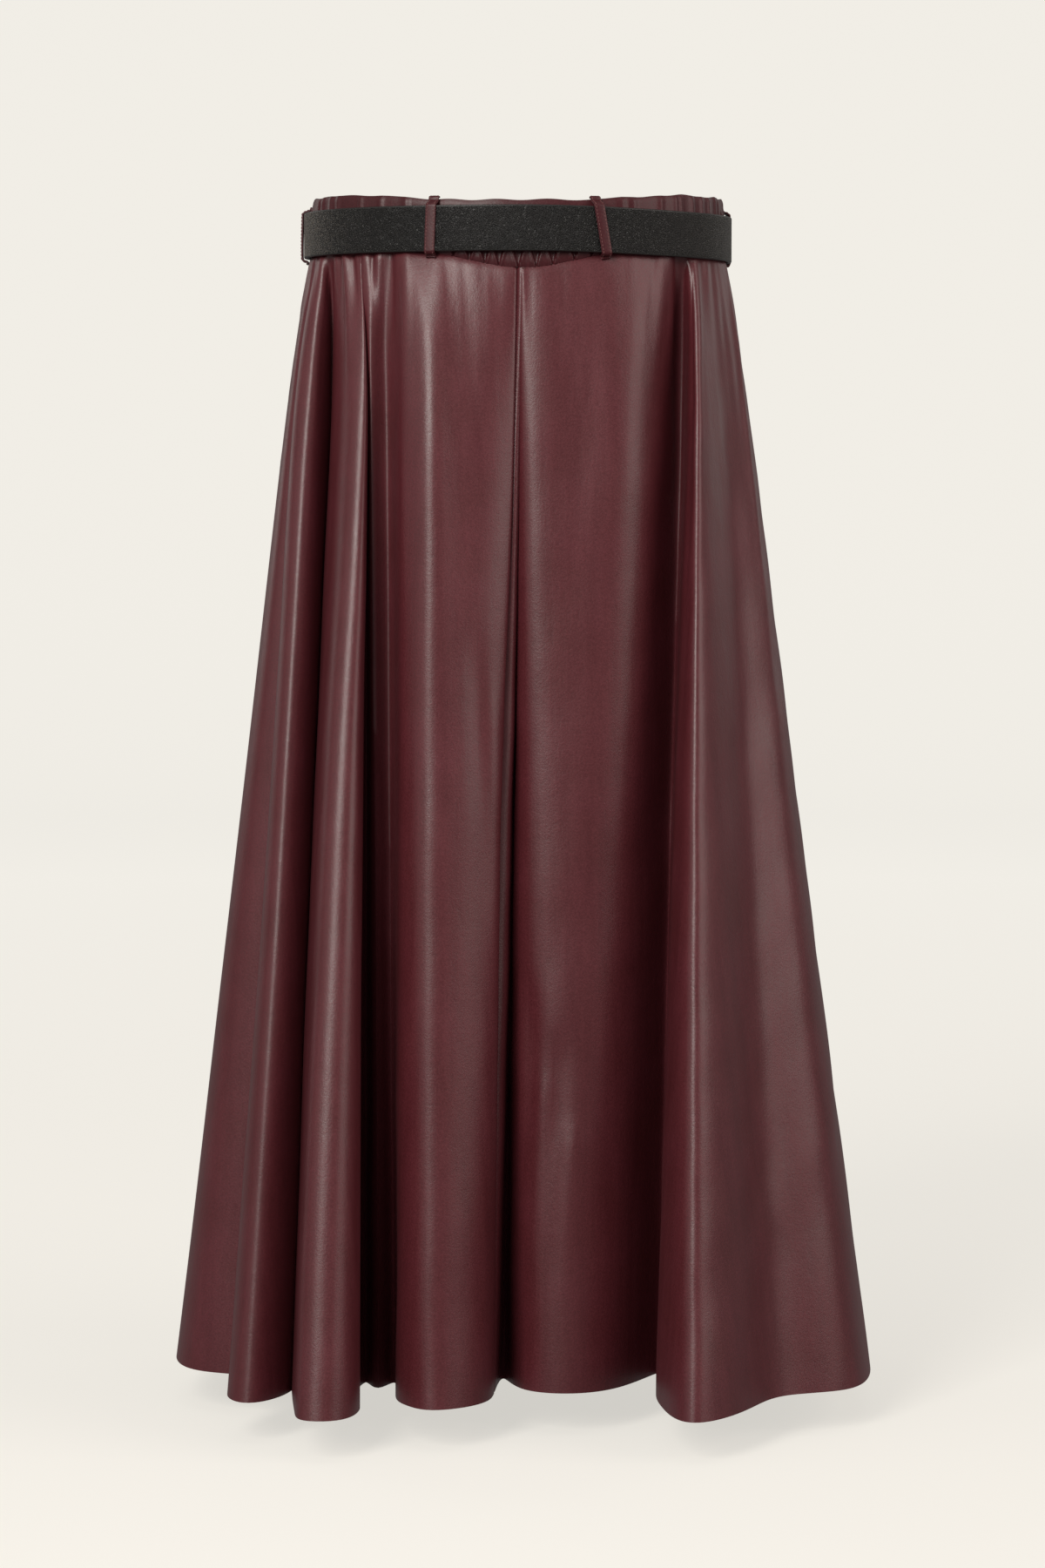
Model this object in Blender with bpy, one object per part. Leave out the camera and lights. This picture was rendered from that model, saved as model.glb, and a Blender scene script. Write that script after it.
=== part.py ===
"""A flared faux-leather skirt with an elastic waistband and its own belt, in its worn shape.

Blender 4.5, metres, +Z up.  The centre back faces -Y and the wearer's right side is +X.  The
origin is the centre of the waist, at the height of the belt's centre line.
"""
import math

import bmesh
import bpy
import numpy as np
from mathutils import Matrix, Vector

MM = 0.001
SEAM_GAP = 0.0003            # clearance between pieces that are sewn together

# Skirt cloth
CLOTH = 0.0012               # wall of the skirt panels
WAIST_X = -0.0035            # the waist sits a little to the left of the hem's centre
WAIST_HALF = (0.1457, 0.098)  # half width and half depth of the waist seam
HEM_Z = -0.797
HIP_SHARE = 0.16             # share of the skirt's length where it rounds over the hip most
ROWS = 9
ROW_CROWDING = 1.5           # above 1, rows crowd towards the waist, where the cloth bends most
SPAN_STEPS = 3               # columns between two neighbouring fold lines

# Waistband: cloth folded over elastic
BAND_WALL = 0.003
BAND_TOP_HALF = (0.1435, 0.0962)
BAND_STEPS = 72
BAND_TOP_BACK = 0.0200       # height of its top edge at the centre back
BAND_TOP_SIDE = 0.0255
SEAM_BACK = -0.0266          # height of the seam where it dips at the centre back
SEAM_SIDE = -0.0150
DIP_HALF_WIDTH = 0.076

# Belt.  Its strap folds back round the buckle's bar at the centre front, runs once round the
# waist and passes through the buckle to its free end.
STRAP_WALL = 0.003
STRAP_WIDTH = 0.0315
STRAP_HALF = (0.1496, 0.1028)    # half width and half depth of the ring its middle follows
STRAP_FRONT_DEPTH = 0.1095       # half depth at the centre front, where the strap is doubled
STRAP_X = -0.0033
STRAP_STEPS = 84
STRAP_DROOP = 0.0030             # how far it hangs down on the right side
LAYER = STRAP_WALL + SEAM_GAP    # spacing of two layers of strap
FOLD_X = 0.010                   # the buckle's bar
FOLD_RADIUS = 0.0034
FOLD_BACK = 0.022                # length of the turned-back end
CROSSING_X = -0.022              # where the free end starts to rise over the first layer
CROSSING_LENGTH = 0.022
TIP_X = 0.070
HOLE_RADIUS = 0.0023
HOLE_PITCH = 0.025
HOLES = 5
SLOT_HALF = (0.0055, 0.0050, 0.0022)   # cut in the fold for the prong
PRONG_HOLE_X = 0.0040

# Buckle and keeper
BAR_RADIUS = 0.0015
FRAME_HALF_HEIGHT = 0.0190
FRAME_LENGTH = 0.034             # from the fold's bar to the far bar
PRONG_RADIUS = 0.0009
ROD_ACROSS = {"buckle_frame": (0, 1, 0), "buckle_prong": (0, 0, 1)}   # off each rod's own plane
KEEPER_X = 0.041
KEEPER_WALL = 0.0014
KEEPER_WIDTH = 0.008

# Belt loops
LOOP_WIDTH = 0.0074
LOOP_WALL = 0.0012
# Belt loops.  top, foot: where their ends are sewn, in degrees from the left side; slack: how
# far the loop stands off the strap, in millimetres.
LOOP_COLUMNS = ("name", "top", "foot", "slack")
LOOPS = (
    ("belt_loop_back_left", 66.8, 66.3, 0.0),
    ("belt_loop_back_right", 111.6, 114.3, 0.0),
    ("belt_loop_left_side", -3.0, -1.0, 0.5),
    ("belt_loop_right_side", 190.0, 190.0, 0.3),
    ("belt_loop_front_left", 305.5, 305.5, 0.0),
    ("belt_loop_front_right", 232.0, 232.0, 0.0),
)

# Fold lines, in order round the skirt from the left side over the back (-Y), the right side and
# the front.  root: where the line leaves the waist seam, in degrees from the left side (90 is
# the centre back).  hem_x, hem_y: where it meets the hem.  hip_x, hip_y: how far it bows out of
# a straight line at the hip.  Lengths are in millimetres.
LINE_COLUMNS = ("name", "root", "hem_x", "hem_y", "hip_x", "hip_y")
LINES = (
    ("left_side", 0, -247, 12, -4, 0),
    ("a_round", 5, -244, -40, -4, 0),
    ("a_shoulder", 10, -224, -70, -4, -2),
    ("ab_valley", 14, -190, -88, -2, 2),
    ("b_left", 16, -202, -140, -7, -4),
    ("b_crest", 19, -188, -173, -3, -6),
    ("b_right", 22, -164, -148, 0, -2),
    ("bc_valley", 26, -161, -74, 4, 14),
    ("c_left", 32, -153, -204, 6, -2),
    ("c_crest", 35.5, -145, -228, 9, -7),
    ("c_face", 38, -128, -229, 9, -7),
    ("c_right", 41, -111, -197, 6, -4),
    ("cd_flank", 43, -114, -128, 2, 1),
    ("d_valley", 44.5, -108, -107, 1, -5),
    ("d_crest", 46.5, -100, -125, 0, -4),
    ("d_right", 50, -91, -110, 1, 3),
    ("e_left", 56.5, -86, -150, 0, -8),
    ("e_shoulder", 59.5, -79, -180, 2, -13),
    ("e_crest", 63.5, -64, -195, 5, -16),
    ("e_top", 70, -46, -191, 4, -10),
    ("e_right", 81, -26, -170, 2, -5),
    ("centre_back", 90, -20, -140, 1, 0),
    ("f_valley", 91.5, -13, -95, 0, 0),
    ("f_left", 95, 1, -129, 0, -5),
    ("f_crest", 108, 26, -143, 0, -4),
    ("f_right", 129, 64, -126, -5, -12),
    ("fg_valley", 140, 96, -76, 2, 15),
    ("g_flank", 144, 92, -142, 4, 0),
    ("g_left", 146, 95, -190, 4, -5),
    ("g_crest", 149, 113, -234, 2, -8),
    ("g_back", 155, 146, -204, 2, -2),
    ("g_hollow", 163, 182, -149, 3, 0),
    ("g_side", 171, 222, -131, 3, 0),
    ("right_round", 176, 242, -86, 3, 0),
    ("right_side", 182, 247, -12, 3, 0),
    ("h_round", 189, 233, 60, 3, 0),
    ("hi_valley", 196, 197, 86, 2, -4),
    ("i_left", 203, 184, 140, 1, 0),
    ("i_crest", 212, 161, 194, 0, 4),
    ("i_right", 221, 128, 180, 0, 2),
    ("ij_valley", 230, 112, 118, 0, -5),
    ("j_left", 239, 78, 152, 0, 0),
    ("j_crest", 249, 46, 206, 0, 4),
    ("j_right", 258, 15, 188, 0, 2),
    ("jk_valley", 267, 2, 124, 0, -5),
    ("k_left", 276, -26, 152, 0, 0),
    ("k_crest", 286, -58, 210, 0, 4),
    ("k_right", 295, -91, 192, 0, 2),
    ("kl_valley", 305, -104, 126, 0, -5),
    ("l_left", 315, -142, 150, 0, 0),
    ("l_crest", 326, -173, 184, -2, 3),
    ("l_right", 336, -196, 148, -3, 0),
    ("lm_valley", 344, -200, 94, -4, -3),
    ("m_round", 352, -236, 62, -4, 0),
)

PANELS = (
    ("back_left_panel", "left_side", "centre_back"),
    ("back_right_panel", "centre_back", "right_side"),
    ("front_panel", "right_side", "left_side"),
)


def periodic_spline(knots, values, period):
    """The smooth closed curve through values at knots, as a function of its parameter."""
    count = len(knots)
    step = np.diff(np.append(knots, knots[0] + period))
    before = np.roll(step, 1)
    slope = (np.roll(values, -1) - values) / step
    system = np.zeros((count, count))
    for i in range(count):
        system[i, i] = 2 * (before[i] + step[i])
        system[i, (i + 1) % count] += step[i]
        system[i, i - 1] += before[i]
    bend = np.linalg.solve(system, 6 * (slope - np.roll(slope, 1)))

    def evaluate(u):
        u = np.asarray(u, float) % period
        i = np.clip(np.searchsorted(knots, u, side="right") - 1, 0, count - 1)
        j = (i + 1) % count
        h = step[i]
        left = knots[i] + h - u
        right = u - knots[i]
        curved = (bend[i] * left ** 3 + bend[j] * right ** 3) / (6 * h)
        return (curved + (values[i] / h - bend[i] * h / 6) * left
                + (values[j] / h - bend[j] * h / 6) * right)

    return evaluate


class Skirt:
    """The middle surface of the skirt's wall: u runs round it, t from the waist to the hem."""

    def __init__(self):
        table = {column: np.array([row[i + 1] for row in LINES], float)
                 for i, column in enumerate(LINE_COLUMNS[1:])}
        chord = np.hypot(np.roll(table["hem_x"], -1) - table["hem_x"],
                         np.roll(table["hem_y"], -1) - table["hem_y"]) * MM
        self.period = chord.sum()
        self.knots = np.concatenate(([0.0], np.cumsum(chord)[:-1]))
        self.at = dict(zip([row[0] for row in LINES], self.knots))
        ahead = table["root"] - 360.0 * self.knots / self.period
        self.ahead = self.curve(ahead)
        self.hem = [self.curve(table[c] * MM) for c in ("hem_x", "hem_y")]
        self.hip = [self.curve(table[c] * MM) for c in ("hip_x", "hip_y")]

    def curve(self, values):
        return periodic_spline(self.knots, values, self.period)

    def root(self, u):
        return np.radians(self.ahead(u) + 360.0 * np.asarray(u) / self.period)

    def point(self, u, t):
        root = self.root(u)
        top_x = WAIST_X - WAIST_HALF[0] * np.cos(root)
        top_y = -WAIST_HALF[1] * np.sin(root)
        bow = t / HIP_SHARE * np.exp(1 - t / HIP_SHARE)
        x = top_x + (self.hem[0](u) - top_x) * t + self.hip[0](u) * bow
        y = top_y + (self.hem[1](u) - top_y) * t + self.hip[1](u) * bow
        top_z = seam_height(top_x, top_y) - SEAM_GAP / 2
        return np.stack([x, y, top_z + (HEM_Z - top_z) * t + 0 * x], axis=-1)

    def normal(self, u, t, step=1e-4):
        along = self.point(u + step, t) - self.point(u - step, t)
        down = self.point(u, t + step) - self.point(u, t - step)
        out = np.cross(down, along)
        return out / np.linalg.norm(out, axis=-1, keepdims=True)


def smooth(share):
    """0 to 1 with level ends."""
    share = np.clip(share, 0.0, 1.0)
    return share * share * (3 - 2 * share)


def seam_height(x, y):
    """Height of the seam between waistband and skirt: it dips at the centre back."""
    at_back = smooth(-y / (0.5 * WAIST_HALF[1]))
    dip = 1 - smooth(np.abs(x) / DIP_HALF_WIDTH)
    return SEAM_SIDE + (SEAM_BACK - SEAM_SIDE) * dip * at_back


def band_top_height(x):
    return BAND_TOP_BACK + (BAND_TOP_SIDE - BAND_TOP_BACK) * smooth((np.abs(x) - 0.035) / 0.09)


def material(name, color, roughness, metallic=0.0):
    made = bpy.data.materials.new(name)
    made.use_nodes = True
    shader = made.node_tree.nodes["Principled BSDF"]
    shader.inputs["Base Color"].default_value = (*color, 1)
    shader.inputs["Roughness"].default_value = roughness
    shader.inputs["Metallic"].default_value = metallic
    return made


def add_object(name, mesh, surface):
    mesh.materials.append(surface)
    made = bpy.data.objects.new(name, mesh)
    bpy.context.scene.collection.objects.link(made)
    return made


def add_wall(name, outer, inner, surface, closed=False):
    """A wall between two grids of points, each (columns, rows, 3); closed joins its ends."""
    columns, rows = outer.shape[:2]
    mesh = bpy.data.meshes.new(name)
    body = bmesh.new()
    grids = [[[body.verts.new(p) for p in column] for column in grid] for grid in (outer, inner)]
    out, back = grids
    for i in range(columns if closed else columns - 1):
        j = (i + 1) % columns
        for k in range(rows - 1):
            body.faces.new((out[i][k], out[i][k + 1], out[j][k + 1], out[j][k]))
            body.faces.new((back[i][k], back[j][k], back[j][k + 1], back[i][k + 1]))
        body.faces.new((out[i][0], out[j][0], back[j][0], back[i][0]))
        body.faces.new((out[j][-1], out[i][-1], back[i][-1], back[j][-1]))
    if not closed:
        for k in range(rows - 1):
            body.faces.new((out[0][k + 1], out[0][k], back[0][k], back[0][k + 1]))
            body.faces.new((out[-1][k], out[-1][k + 1], back[-1][k + 1], back[-1][k]))
    bmesh.ops.triangulate(body, faces=body.faces)
    bmesh.ops.recalc_face_normals(body, faces=body.faces)
    body.to_mesh(mesh)
    body.free()
    return add_object(name, mesh, surface)


def panel_columns(skirt, first, last):
    """Parameters of a panel's columns, with SPAN_STEPS of them from line to line."""
    start, end = skirt.at[first], skirt.at[last]
    if end <= start:
        end += skirt.period
    knots = np.append(skirt.knots, skirt.knots + skirt.period)
    lines = [k for k in knots if start <= k < end]
    stops = lines[1:] + [end]
    columns = [a + (b - a) * i / SPAN_STEPS for a, b in zip(lines, stops) for i in range(SPAN_STEPS)]
    return np.array(columns + [end])


def add_panel(skirt, name, first, last, surface):
    u = panel_columns(skirt, first, last)
    t = np.linspace(0, 1, ROWS + 1) ** ROW_CROWDING
    grid_u, grid_t = np.meshgrid(u, t, indexing="ij")
    middle = skirt.point(grid_u, grid_t)
    normal = skirt.normal(grid_u, grid_t)
    for end, inward in ((0, 1), (-1, -1)):
        along = middle[end + inward] - middle[end]
        along /= np.linalg.norm(along, axis=-1, keepdims=True)
        middle[end] += along * SEAM_GAP / 2
    half = normal * CLOTH / 2
    outer, inner = middle + half, middle - half
    for grid in (outer, inner):
        grid[:, 0, 2] = middle[:, 0, 2] - SEAM_GAP / 2
    return add_wall(name, outer, inner, surface)


def add_waistband(surface):
    angle = np.linspace(0, 2 * math.pi, BAND_STEPS, endpoint=False)
    columns = []
    for share in (0.0, 0.5, 1.0):
        half_x = WAIST_HALF[0] + (BAND_TOP_HALF[0] - WAIST_HALF[0]) * share
        half_y = WAIST_HALF[1] + (BAND_TOP_HALF[1] - WAIST_HALF[1]) * share
        x = -half_x * np.cos(angle)
        y = -half_y * np.sin(angle)
        low = seam_height(x + WAIST_X, y) + SEAM_GAP / 2
        z = low + (band_top_height(x) - low) * share
        out = np.stack([-half_y * np.cos(angle), -half_x * np.sin(angle)], axis=-1)
        out /= np.linalg.norm(out, axis=-1, keepdims=True)
        for side in (1, -1):
            edge = out * side * BAND_WALL / 2
            columns.append(np.stack([x + WAIST_X + edge[:, 0], y + edge[:, 1], z], axis=-1))
    outer = np.stack(columns[0::2][::-1], axis=1)
    inner = np.stack(columns[1::2][::-1], axis=1)
    return add_wall("waistband", outer, inner, surface, closed=True)


def add_strip(name, middle, normal, across, wall, width, surface, closed=False):
    """A strip of even wall and width along middle; normal and across turn with it."""
    faces = []
    for side in (0.5, -0.5):
        face = middle + normal * side * wall
        faces.append(np.stack([face + across * width / 2, face - across * width / 2], axis=1))
    return add_wall(name, faces[0], faces[1], surface, closed)


def add_rod(name, path, radius, surface, closed=False, sides=10):
    """A round rod along path, given as (x, y, z) points."""
    path = np.array(path, float)
    ahead = np.roll(path, -1, axis=0) - np.roll(path, 1, axis=0)
    if not closed:
        ahead[0] = path[1] - path[0]
        ahead[-1] = path[-1] - path[-2]
    ahead /= np.linalg.norm(ahead, axis=1, keepdims=True)
    side = np.cross(ahead, ROD_ACROSS[name])
    side /= np.linalg.norm(side, axis=1, keepdims=True)
    up = np.cross(side, ahead)
    body = bmesh.new()
    rings = []
    for centre, s, w in zip(path, side, up):
        turns = [2 * math.pi * i / sides for i in range(sides)]
        rings.append([body.verts.new(centre + radius * (s * math.cos(a) + w * math.sin(a)))
                      for a in turns])
    pairs = list(zip(rings, rings[1:] + rings[:1])) if closed else list(zip(rings, rings[1:]))
    for one, two in pairs:
        for i in range(sides):
            j = (i + 1) % sides
            body.faces.new((one[i], one[j], two[j], two[i]))
    if not closed:
        body.faces.new(rings[0][::-1])
        body.faces.new(rings[-1])
    bmesh.ops.recalc_face_normals(body, faces=body.faces)
    mesh = bpy.data.meshes.new(name)
    body.to_mesh(mesh)
    body.free()
    return add_object(name, mesh, surface)


def strap_ring(angle):
    """Point and outward direction of the strap's ring, by angle from the front to the right."""
    front = math.cos(angle)
    deepening = float(smooth(front)) if front > 0 else 0.0
    depth = STRAP_HALF[1] + (STRAP_FRONT_DEPTH - STRAP_HALF[1]) * deepening
    point = np.array([STRAP_X + STRAP_HALF[0] * math.sin(angle), depth * front])
    out = np.array([depth * math.sin(angle), STRAP_HALF[0] * front])
    return point, out / np.linalg.norm(out)


def ring_angle(x):
    """The strap ring's angle in front of the wearer at x."""
    return math.asin((x - STRAP_X) / STRAP_HALF[0])


def rise(angle):
    """How far the strap has risen over its first layer, on its way past the centre front."""
    travelled = (angle - 2 * math.pi - ring_angle(CROSSING_X)) * STRAP_HALF[0]
    return LAYER * float(smooth(travelled / CROSSING_LENGTH))


def bar_centre():
    point, out = strap_ring(ring_angle(FOLD_X))
    return point - out * FOLD_RADIUS


def strap_path():
    """Plan of the strap's middle: turned-back end, fold, once round the waist, free end."""
    path = []
    for share in np.linspace(1, 0, 6):
        point, out = strap_ring(ring_angle(FOLD_X + FOLD_BACK * share))
        apart = 2 * FOLD_RADIUS + (LAYER - 2 * FOLD_RADIUS) * float(smooth(1.6 * share))
        path.append(point - out * apart)
    bar = bar_centre()
    for turn in np.linspace(math.pi / 6, math.pi * 5 / 6, 5):
        path.append(bar - FOLD_RADIUS * np.array([math.sin(turn), math.cos(turn)]))
    start, end = ring_angle(FOLD_X), 2 * math.pi + ring_angle(TIP_X)
    for angle in np.linspace(start, end, STRAP_STEPS):
        point, out = strap_ring(angle)
        path.append(point + out * rise(angle))
    return np.array(path)


def strap_height(x):
    """The strap's centre line droops a little on the right side."""
    return -STRAP_DROOP * smooth(x / STRAP_HALF[0])


def add_cutter(name, belt, build):
    """Cut the shape that build adds to a bmesh out of the belt."""
    mesh = bpy.data.meshes.new(name)
    body = bmesh.new()
    build(body)
    body.to_mesh(mesh)
    body.free()
    cutter = bpy.data.objects.new(name, mesh)
    bpy.context.scene.collection.objects.link(cutter)
    cutter.hide_render = True
    cutter.display_type = "WIRE"
    cut = belt.modifiers.new(name, "BOOLEAN")
    cut.operation = "DIFFERENCE"
    cut.solver = "EXACT"
    cut.object = cutter


def add_belt(surface):
    path = strap_path()
    along = np.gradient(path, axis=0)
    along /= np.linalg.norm(along, axis=1, keepdims=True)
    middle = np.column_stack([path, strap_height(path[:, 0])])
    flat = np.zeros(len(path))
    normal = np.column_stack([-along[:, 1], along[:, 0], flat])
    across = np.column_stack([flat, flat, flat + 1])
    belt = add_strip("belt", middle, normal, across, STRAP_WALL, STRAP_WIDTH, surface)

    def slot(body):
        bar = bar_centre()
        place = Matrix.Translation((bar[0], bar[1], 0)) @ Matrix.Diagonal((*SLOT_HALF, 1))
        bmesh.ops.create_cube(body, size=2, matrix=place)

    def holes(body):
        for number in range(HOLES):
            x = PRONG_HOLE_X - HOLE_PITCH * (number - HOLES // 2)
            angle = 2 * math.pi + ring_angle(x)
            point, out = strap_ring(angle)
            centre = point + out * rise(angle)
            turn = Vector((out[0], out[1], 0)).to_track_quat("Z", "Y").to_matrix().to_4x4()
            place = Matrix.Translation((*centre, float(strap_height(x)))) @ turn
            bmesh.ops.create_cone(body, cap_ends=True, segments=12, radius1=HOLE_RADIUS,
                                  radius2=HOLE_RADIUS, depth=LAYER, matrix=place)

    add_cutter("prong_slot_cutter", belt, slot)
    add_cutter("hole_cutter", belt, holes)


def front_face(x, beyond):
    """Point in front of the free end's outer face at x, with its height."""
    angle = 2 * math.pi + ring_angle(x)
    point, out = strap_ring(angle)
    return point + out * (rise(angle) + STRAP_WALL / 2 + beyond)


def add_buckle(surface):
    bar = bar_centre()
    far = front_face(FOLD_X - FRAME_LENGTH, SEAM_GAP + BAR_RADIUS)
    frame = []
    for start, end, height in ((bar, far, FRAME_HALF_HEIGHT), (far, bar, -FRAME_HALF_HEIGHT)):
        for share in (0.0, 0.06, 0.94, 1.0):
            plan = start + (end - start) * share
            corner = 0.88 if share in (0.0, 1.0) else 1.0
            frame.append((plan[0], plan[1], height * corner))
    add_rod("buckle_frame", frame, BAR_RADIUS, surface, closed=True)
    hook = BAR_RADIUS + SEAM_GAP + PRONG_RADIUS
    path = [bar + hook * np.array([math.cos(a), math.sin(a)])
            for a in np.radians(np.linspace(60, -150, 9))]
    lift = SEAM_GAP + PRONG_RADIUS
    path.append(front_face(PRONG_HOLE_X - 0.001, lift + 0.0004))
    path.append(front_face(PRONG_HOLE_X - 0.004, lift + 0.0012))
    over = far + np.array([0, BAR_RADIUS + SEAM_GAP + PRONG_RADIUS])
    path.append(over + np.array([0.003, 0.0002]))
    path.append(over - np.array([0.0025, 0]))
    add_rod("buckle_prong", [(x, y, 0.0) for x, y in path], PRONG_RADIUS, surface.copy())


def add_keeper(surface):
    """A closed loop of strap round both layers, beside the buckle."""
    point, out = strap_ring(ring_angle(KEEPER_X))
    across = np.array([out[1], -out[0], 0.0])
    near = STRAP_WALL / 2 + SEAM_GAP + KEEPER_WALL / 2
    high = STRAP_WIDTH / 2 + SEAM_GAP + KEEPER_WALL / 2
    middle, normal = [], []
    corners = ((near + LAYER, high, 1, 1), (near + LAYER, -high, 1, -1),
               (-near, -high, -1, -1), (-near, high, -1, 1))
    for away, height, side, up in corners:
        plan = point + out * away
        middle.append((*plan, height + float(strap_height(KEEPER_X))))
        normal.append((*(out * side), up))
    add_strip("belt_keeper", np.array(middle), np.array(normal), across, KEEPER_WALL,
              KEEPER_WIDTH, surface, closed=True)


def band_middle(degrees, height):
    """Middle of the waistband's wall, that far round from the left side, and its way out."""
    up = np.clip((height - SEAM_SIDE) / (BAND_TOP_BACK - SEAM_SIDE), 0, 1)
    half = np.array(WAIST_HALF) * (1 - up) + np.array(BAND_TOP_HALF) * up
    turn = math.radians(degrees)
    local = -half * np.array([math.cos(turn), math.sin(turn)])
    out = local / half ** 2
    return local + np.array([WAIST_X, 0]), out / np.linalg.norm(out)


def distance_to_strap(point, out):
    """How far from point, along out, the middle of the strap's ring lies."""
    depth = STRAP_HALF[1]
    if point[1] > 0:
        angle = ring_angle(point[0])
        depth = strap_ring(angle)[0][1] / math.cos(angle)
    scale = np.array([STRAP_HALF[0], depth])
    start = (point - np.array([STRAP_X, 0])) / scale
    way = out / scale
    a, b, c = way @ way, start @ way, start @ start - 1
    return (-b + math.sqrt(b * b - a * c)) / a


def add_loop(name, top_at, foot_at, slack, surface):
    """A strip over the waistband's top edge, down in front of the belt, and in to the seam.  A
    loop with slack, at a side, is sewn to the band just above the belt instead."""
    lift = SEAM_GAP + LOOP_WALL / 2
    near = BAND_WALL / 2 + lift
    plan = band_middle(top_at, SEAM_SIDE)[0]
    top = float(band_top_height(plan[0] - WAIST_X)) + lift
    strap_edge = STRAP_WIDTH / 2 + lift
    foot_x, foot_y = band_middle(foot_at, SEAM_SIDE)[0]
    droop = float(strap_height(foot_x))
    foot = min(float(seam_height(foot_x, foot_y)), droop - strap_edge) - 2.5 * LOOP_WALL
    stations = (("over", top), ("near", top), ("near", strap_edge + LOOP_WALL),
                ("far", strap_edge), ("slack", 0.0), ("far", droop - strap_edge),
                ("near", droop - strap_edge - LOOP_WALL), ("foot", foot))
    if slack > 0:
        top = strap_edge + 3 * LOOP_WALL
        stations = (("near", top),) + stations[2:]
    middle = []
    for place, height in stations:
        share = (top - height) / (top - foot)
        point, out = band_middle(top_at + (foot_at - top_at) * share, height)
        away = {"over": 0.0, "near": near, "foot": near + 0.7 * MM}.get(place)
        if away is None:
            away = distance_to_strap(point, out) + STRAP_WALL / 2 + lift
            away += slack * MM * (1.0 if place == "slack" else 0.5)
        middle.append((*(point + out * away), height))
    across = np.array([-out[1], out[0], 0.0])
    along = np.gradient(np.array(middle), axis=0)
    normal = np.cross(along, across)
    normal /= np.linalg.norm(normal, axis=1, keepdims=True)
    add_strip(name, np.array(middle), normal, across, LOOP_WALL, LOOP_WIDTH, surface)


def main():
    for leftover in list(bpy.data.objects):
        bpy.data.objects.remove(leftover, do_unlink=True)
    burgundy = material("burgundy faux leather", (0.090, 0.018, 0.022), 0.35)
    black = material("black grained leather", (0.012, 0.011, 0.010), 0.45)
    metal = material("black-plated metal", (0.05, 0.048, 0.045), 0.3, 1.0)
    skirt = Skirt()
    for name, first, last in PANELS:
        add_panel(skirt, name, first, last, burgundy.copy())
    add_waistband(burgundy.copy())
    for name, top_at, foot_at, slack in LOOPS:
        add_loop(name, top_at, foot_at, slack, burgundy.copy())
    add_belt(black)
    add_keeper(black.copy())
    add_buckle(metal)


main()
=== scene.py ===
"""Looks of the flared burgundy skirt: cloth, gathers, seams, loops, belt, buckle and stage."""
import math

import bmesh
import bpy
import numpy as np
from mathutils import Matrix, Vector


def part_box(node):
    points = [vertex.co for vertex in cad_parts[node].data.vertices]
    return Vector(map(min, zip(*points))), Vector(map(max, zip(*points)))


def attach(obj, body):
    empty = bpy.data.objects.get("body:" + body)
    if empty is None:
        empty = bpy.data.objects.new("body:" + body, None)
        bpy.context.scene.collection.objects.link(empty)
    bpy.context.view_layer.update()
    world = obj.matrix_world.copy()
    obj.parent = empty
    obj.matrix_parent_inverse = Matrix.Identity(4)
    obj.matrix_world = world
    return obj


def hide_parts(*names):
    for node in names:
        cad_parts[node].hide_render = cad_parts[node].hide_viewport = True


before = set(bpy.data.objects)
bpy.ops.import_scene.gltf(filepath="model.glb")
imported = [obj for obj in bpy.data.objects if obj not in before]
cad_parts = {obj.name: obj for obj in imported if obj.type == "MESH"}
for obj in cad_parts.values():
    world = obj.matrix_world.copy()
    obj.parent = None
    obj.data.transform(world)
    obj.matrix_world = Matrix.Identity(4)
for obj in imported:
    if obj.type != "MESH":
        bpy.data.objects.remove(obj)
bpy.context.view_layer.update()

bl_info = {
    "name": "Flared leather skirt",
    "version": (1, 0, 0),
    "blender": (4, 5, 0),
    "location": "View3D > Sidebar > Skirt",
    "description": "Dresses the packed skirt with leather, gathers, seams, a belt and a studio",
    "category": "Add Mesh",
}

MM = 0.001
PANEL_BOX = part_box("back_left_panel")
BAND_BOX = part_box("waistband")

# ---------------------------------------------------------------------------------------------
# The skirt's form
# ---------------------------------------------------------------------------------------------
HEM_Z = float(PANEL_BOX[0][2])
BAND_WALL = 0.003
BAND_BOTTOM_HALF = (0.1457, 0.098)
BAND_TOP_HALF = (0.1435, 0.0962)
WAIST_X = float(BAND_BOX[0][0] + BAND_BOX[1][0]) / 2
HIP_SHARE = 0.16
BAND_TOP_BACK = 0.0200
BAND_TOP_SIDE = float(BAND_BOX[1][2])
BAND_TOP_LEVEL = 0.035
BAND_TOP_RISE = 0.09
SEAM_BACK = -0.0266
SEAM_SIDE = -0.0150
DIP_HALF_WIDTH = 0.076

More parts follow.
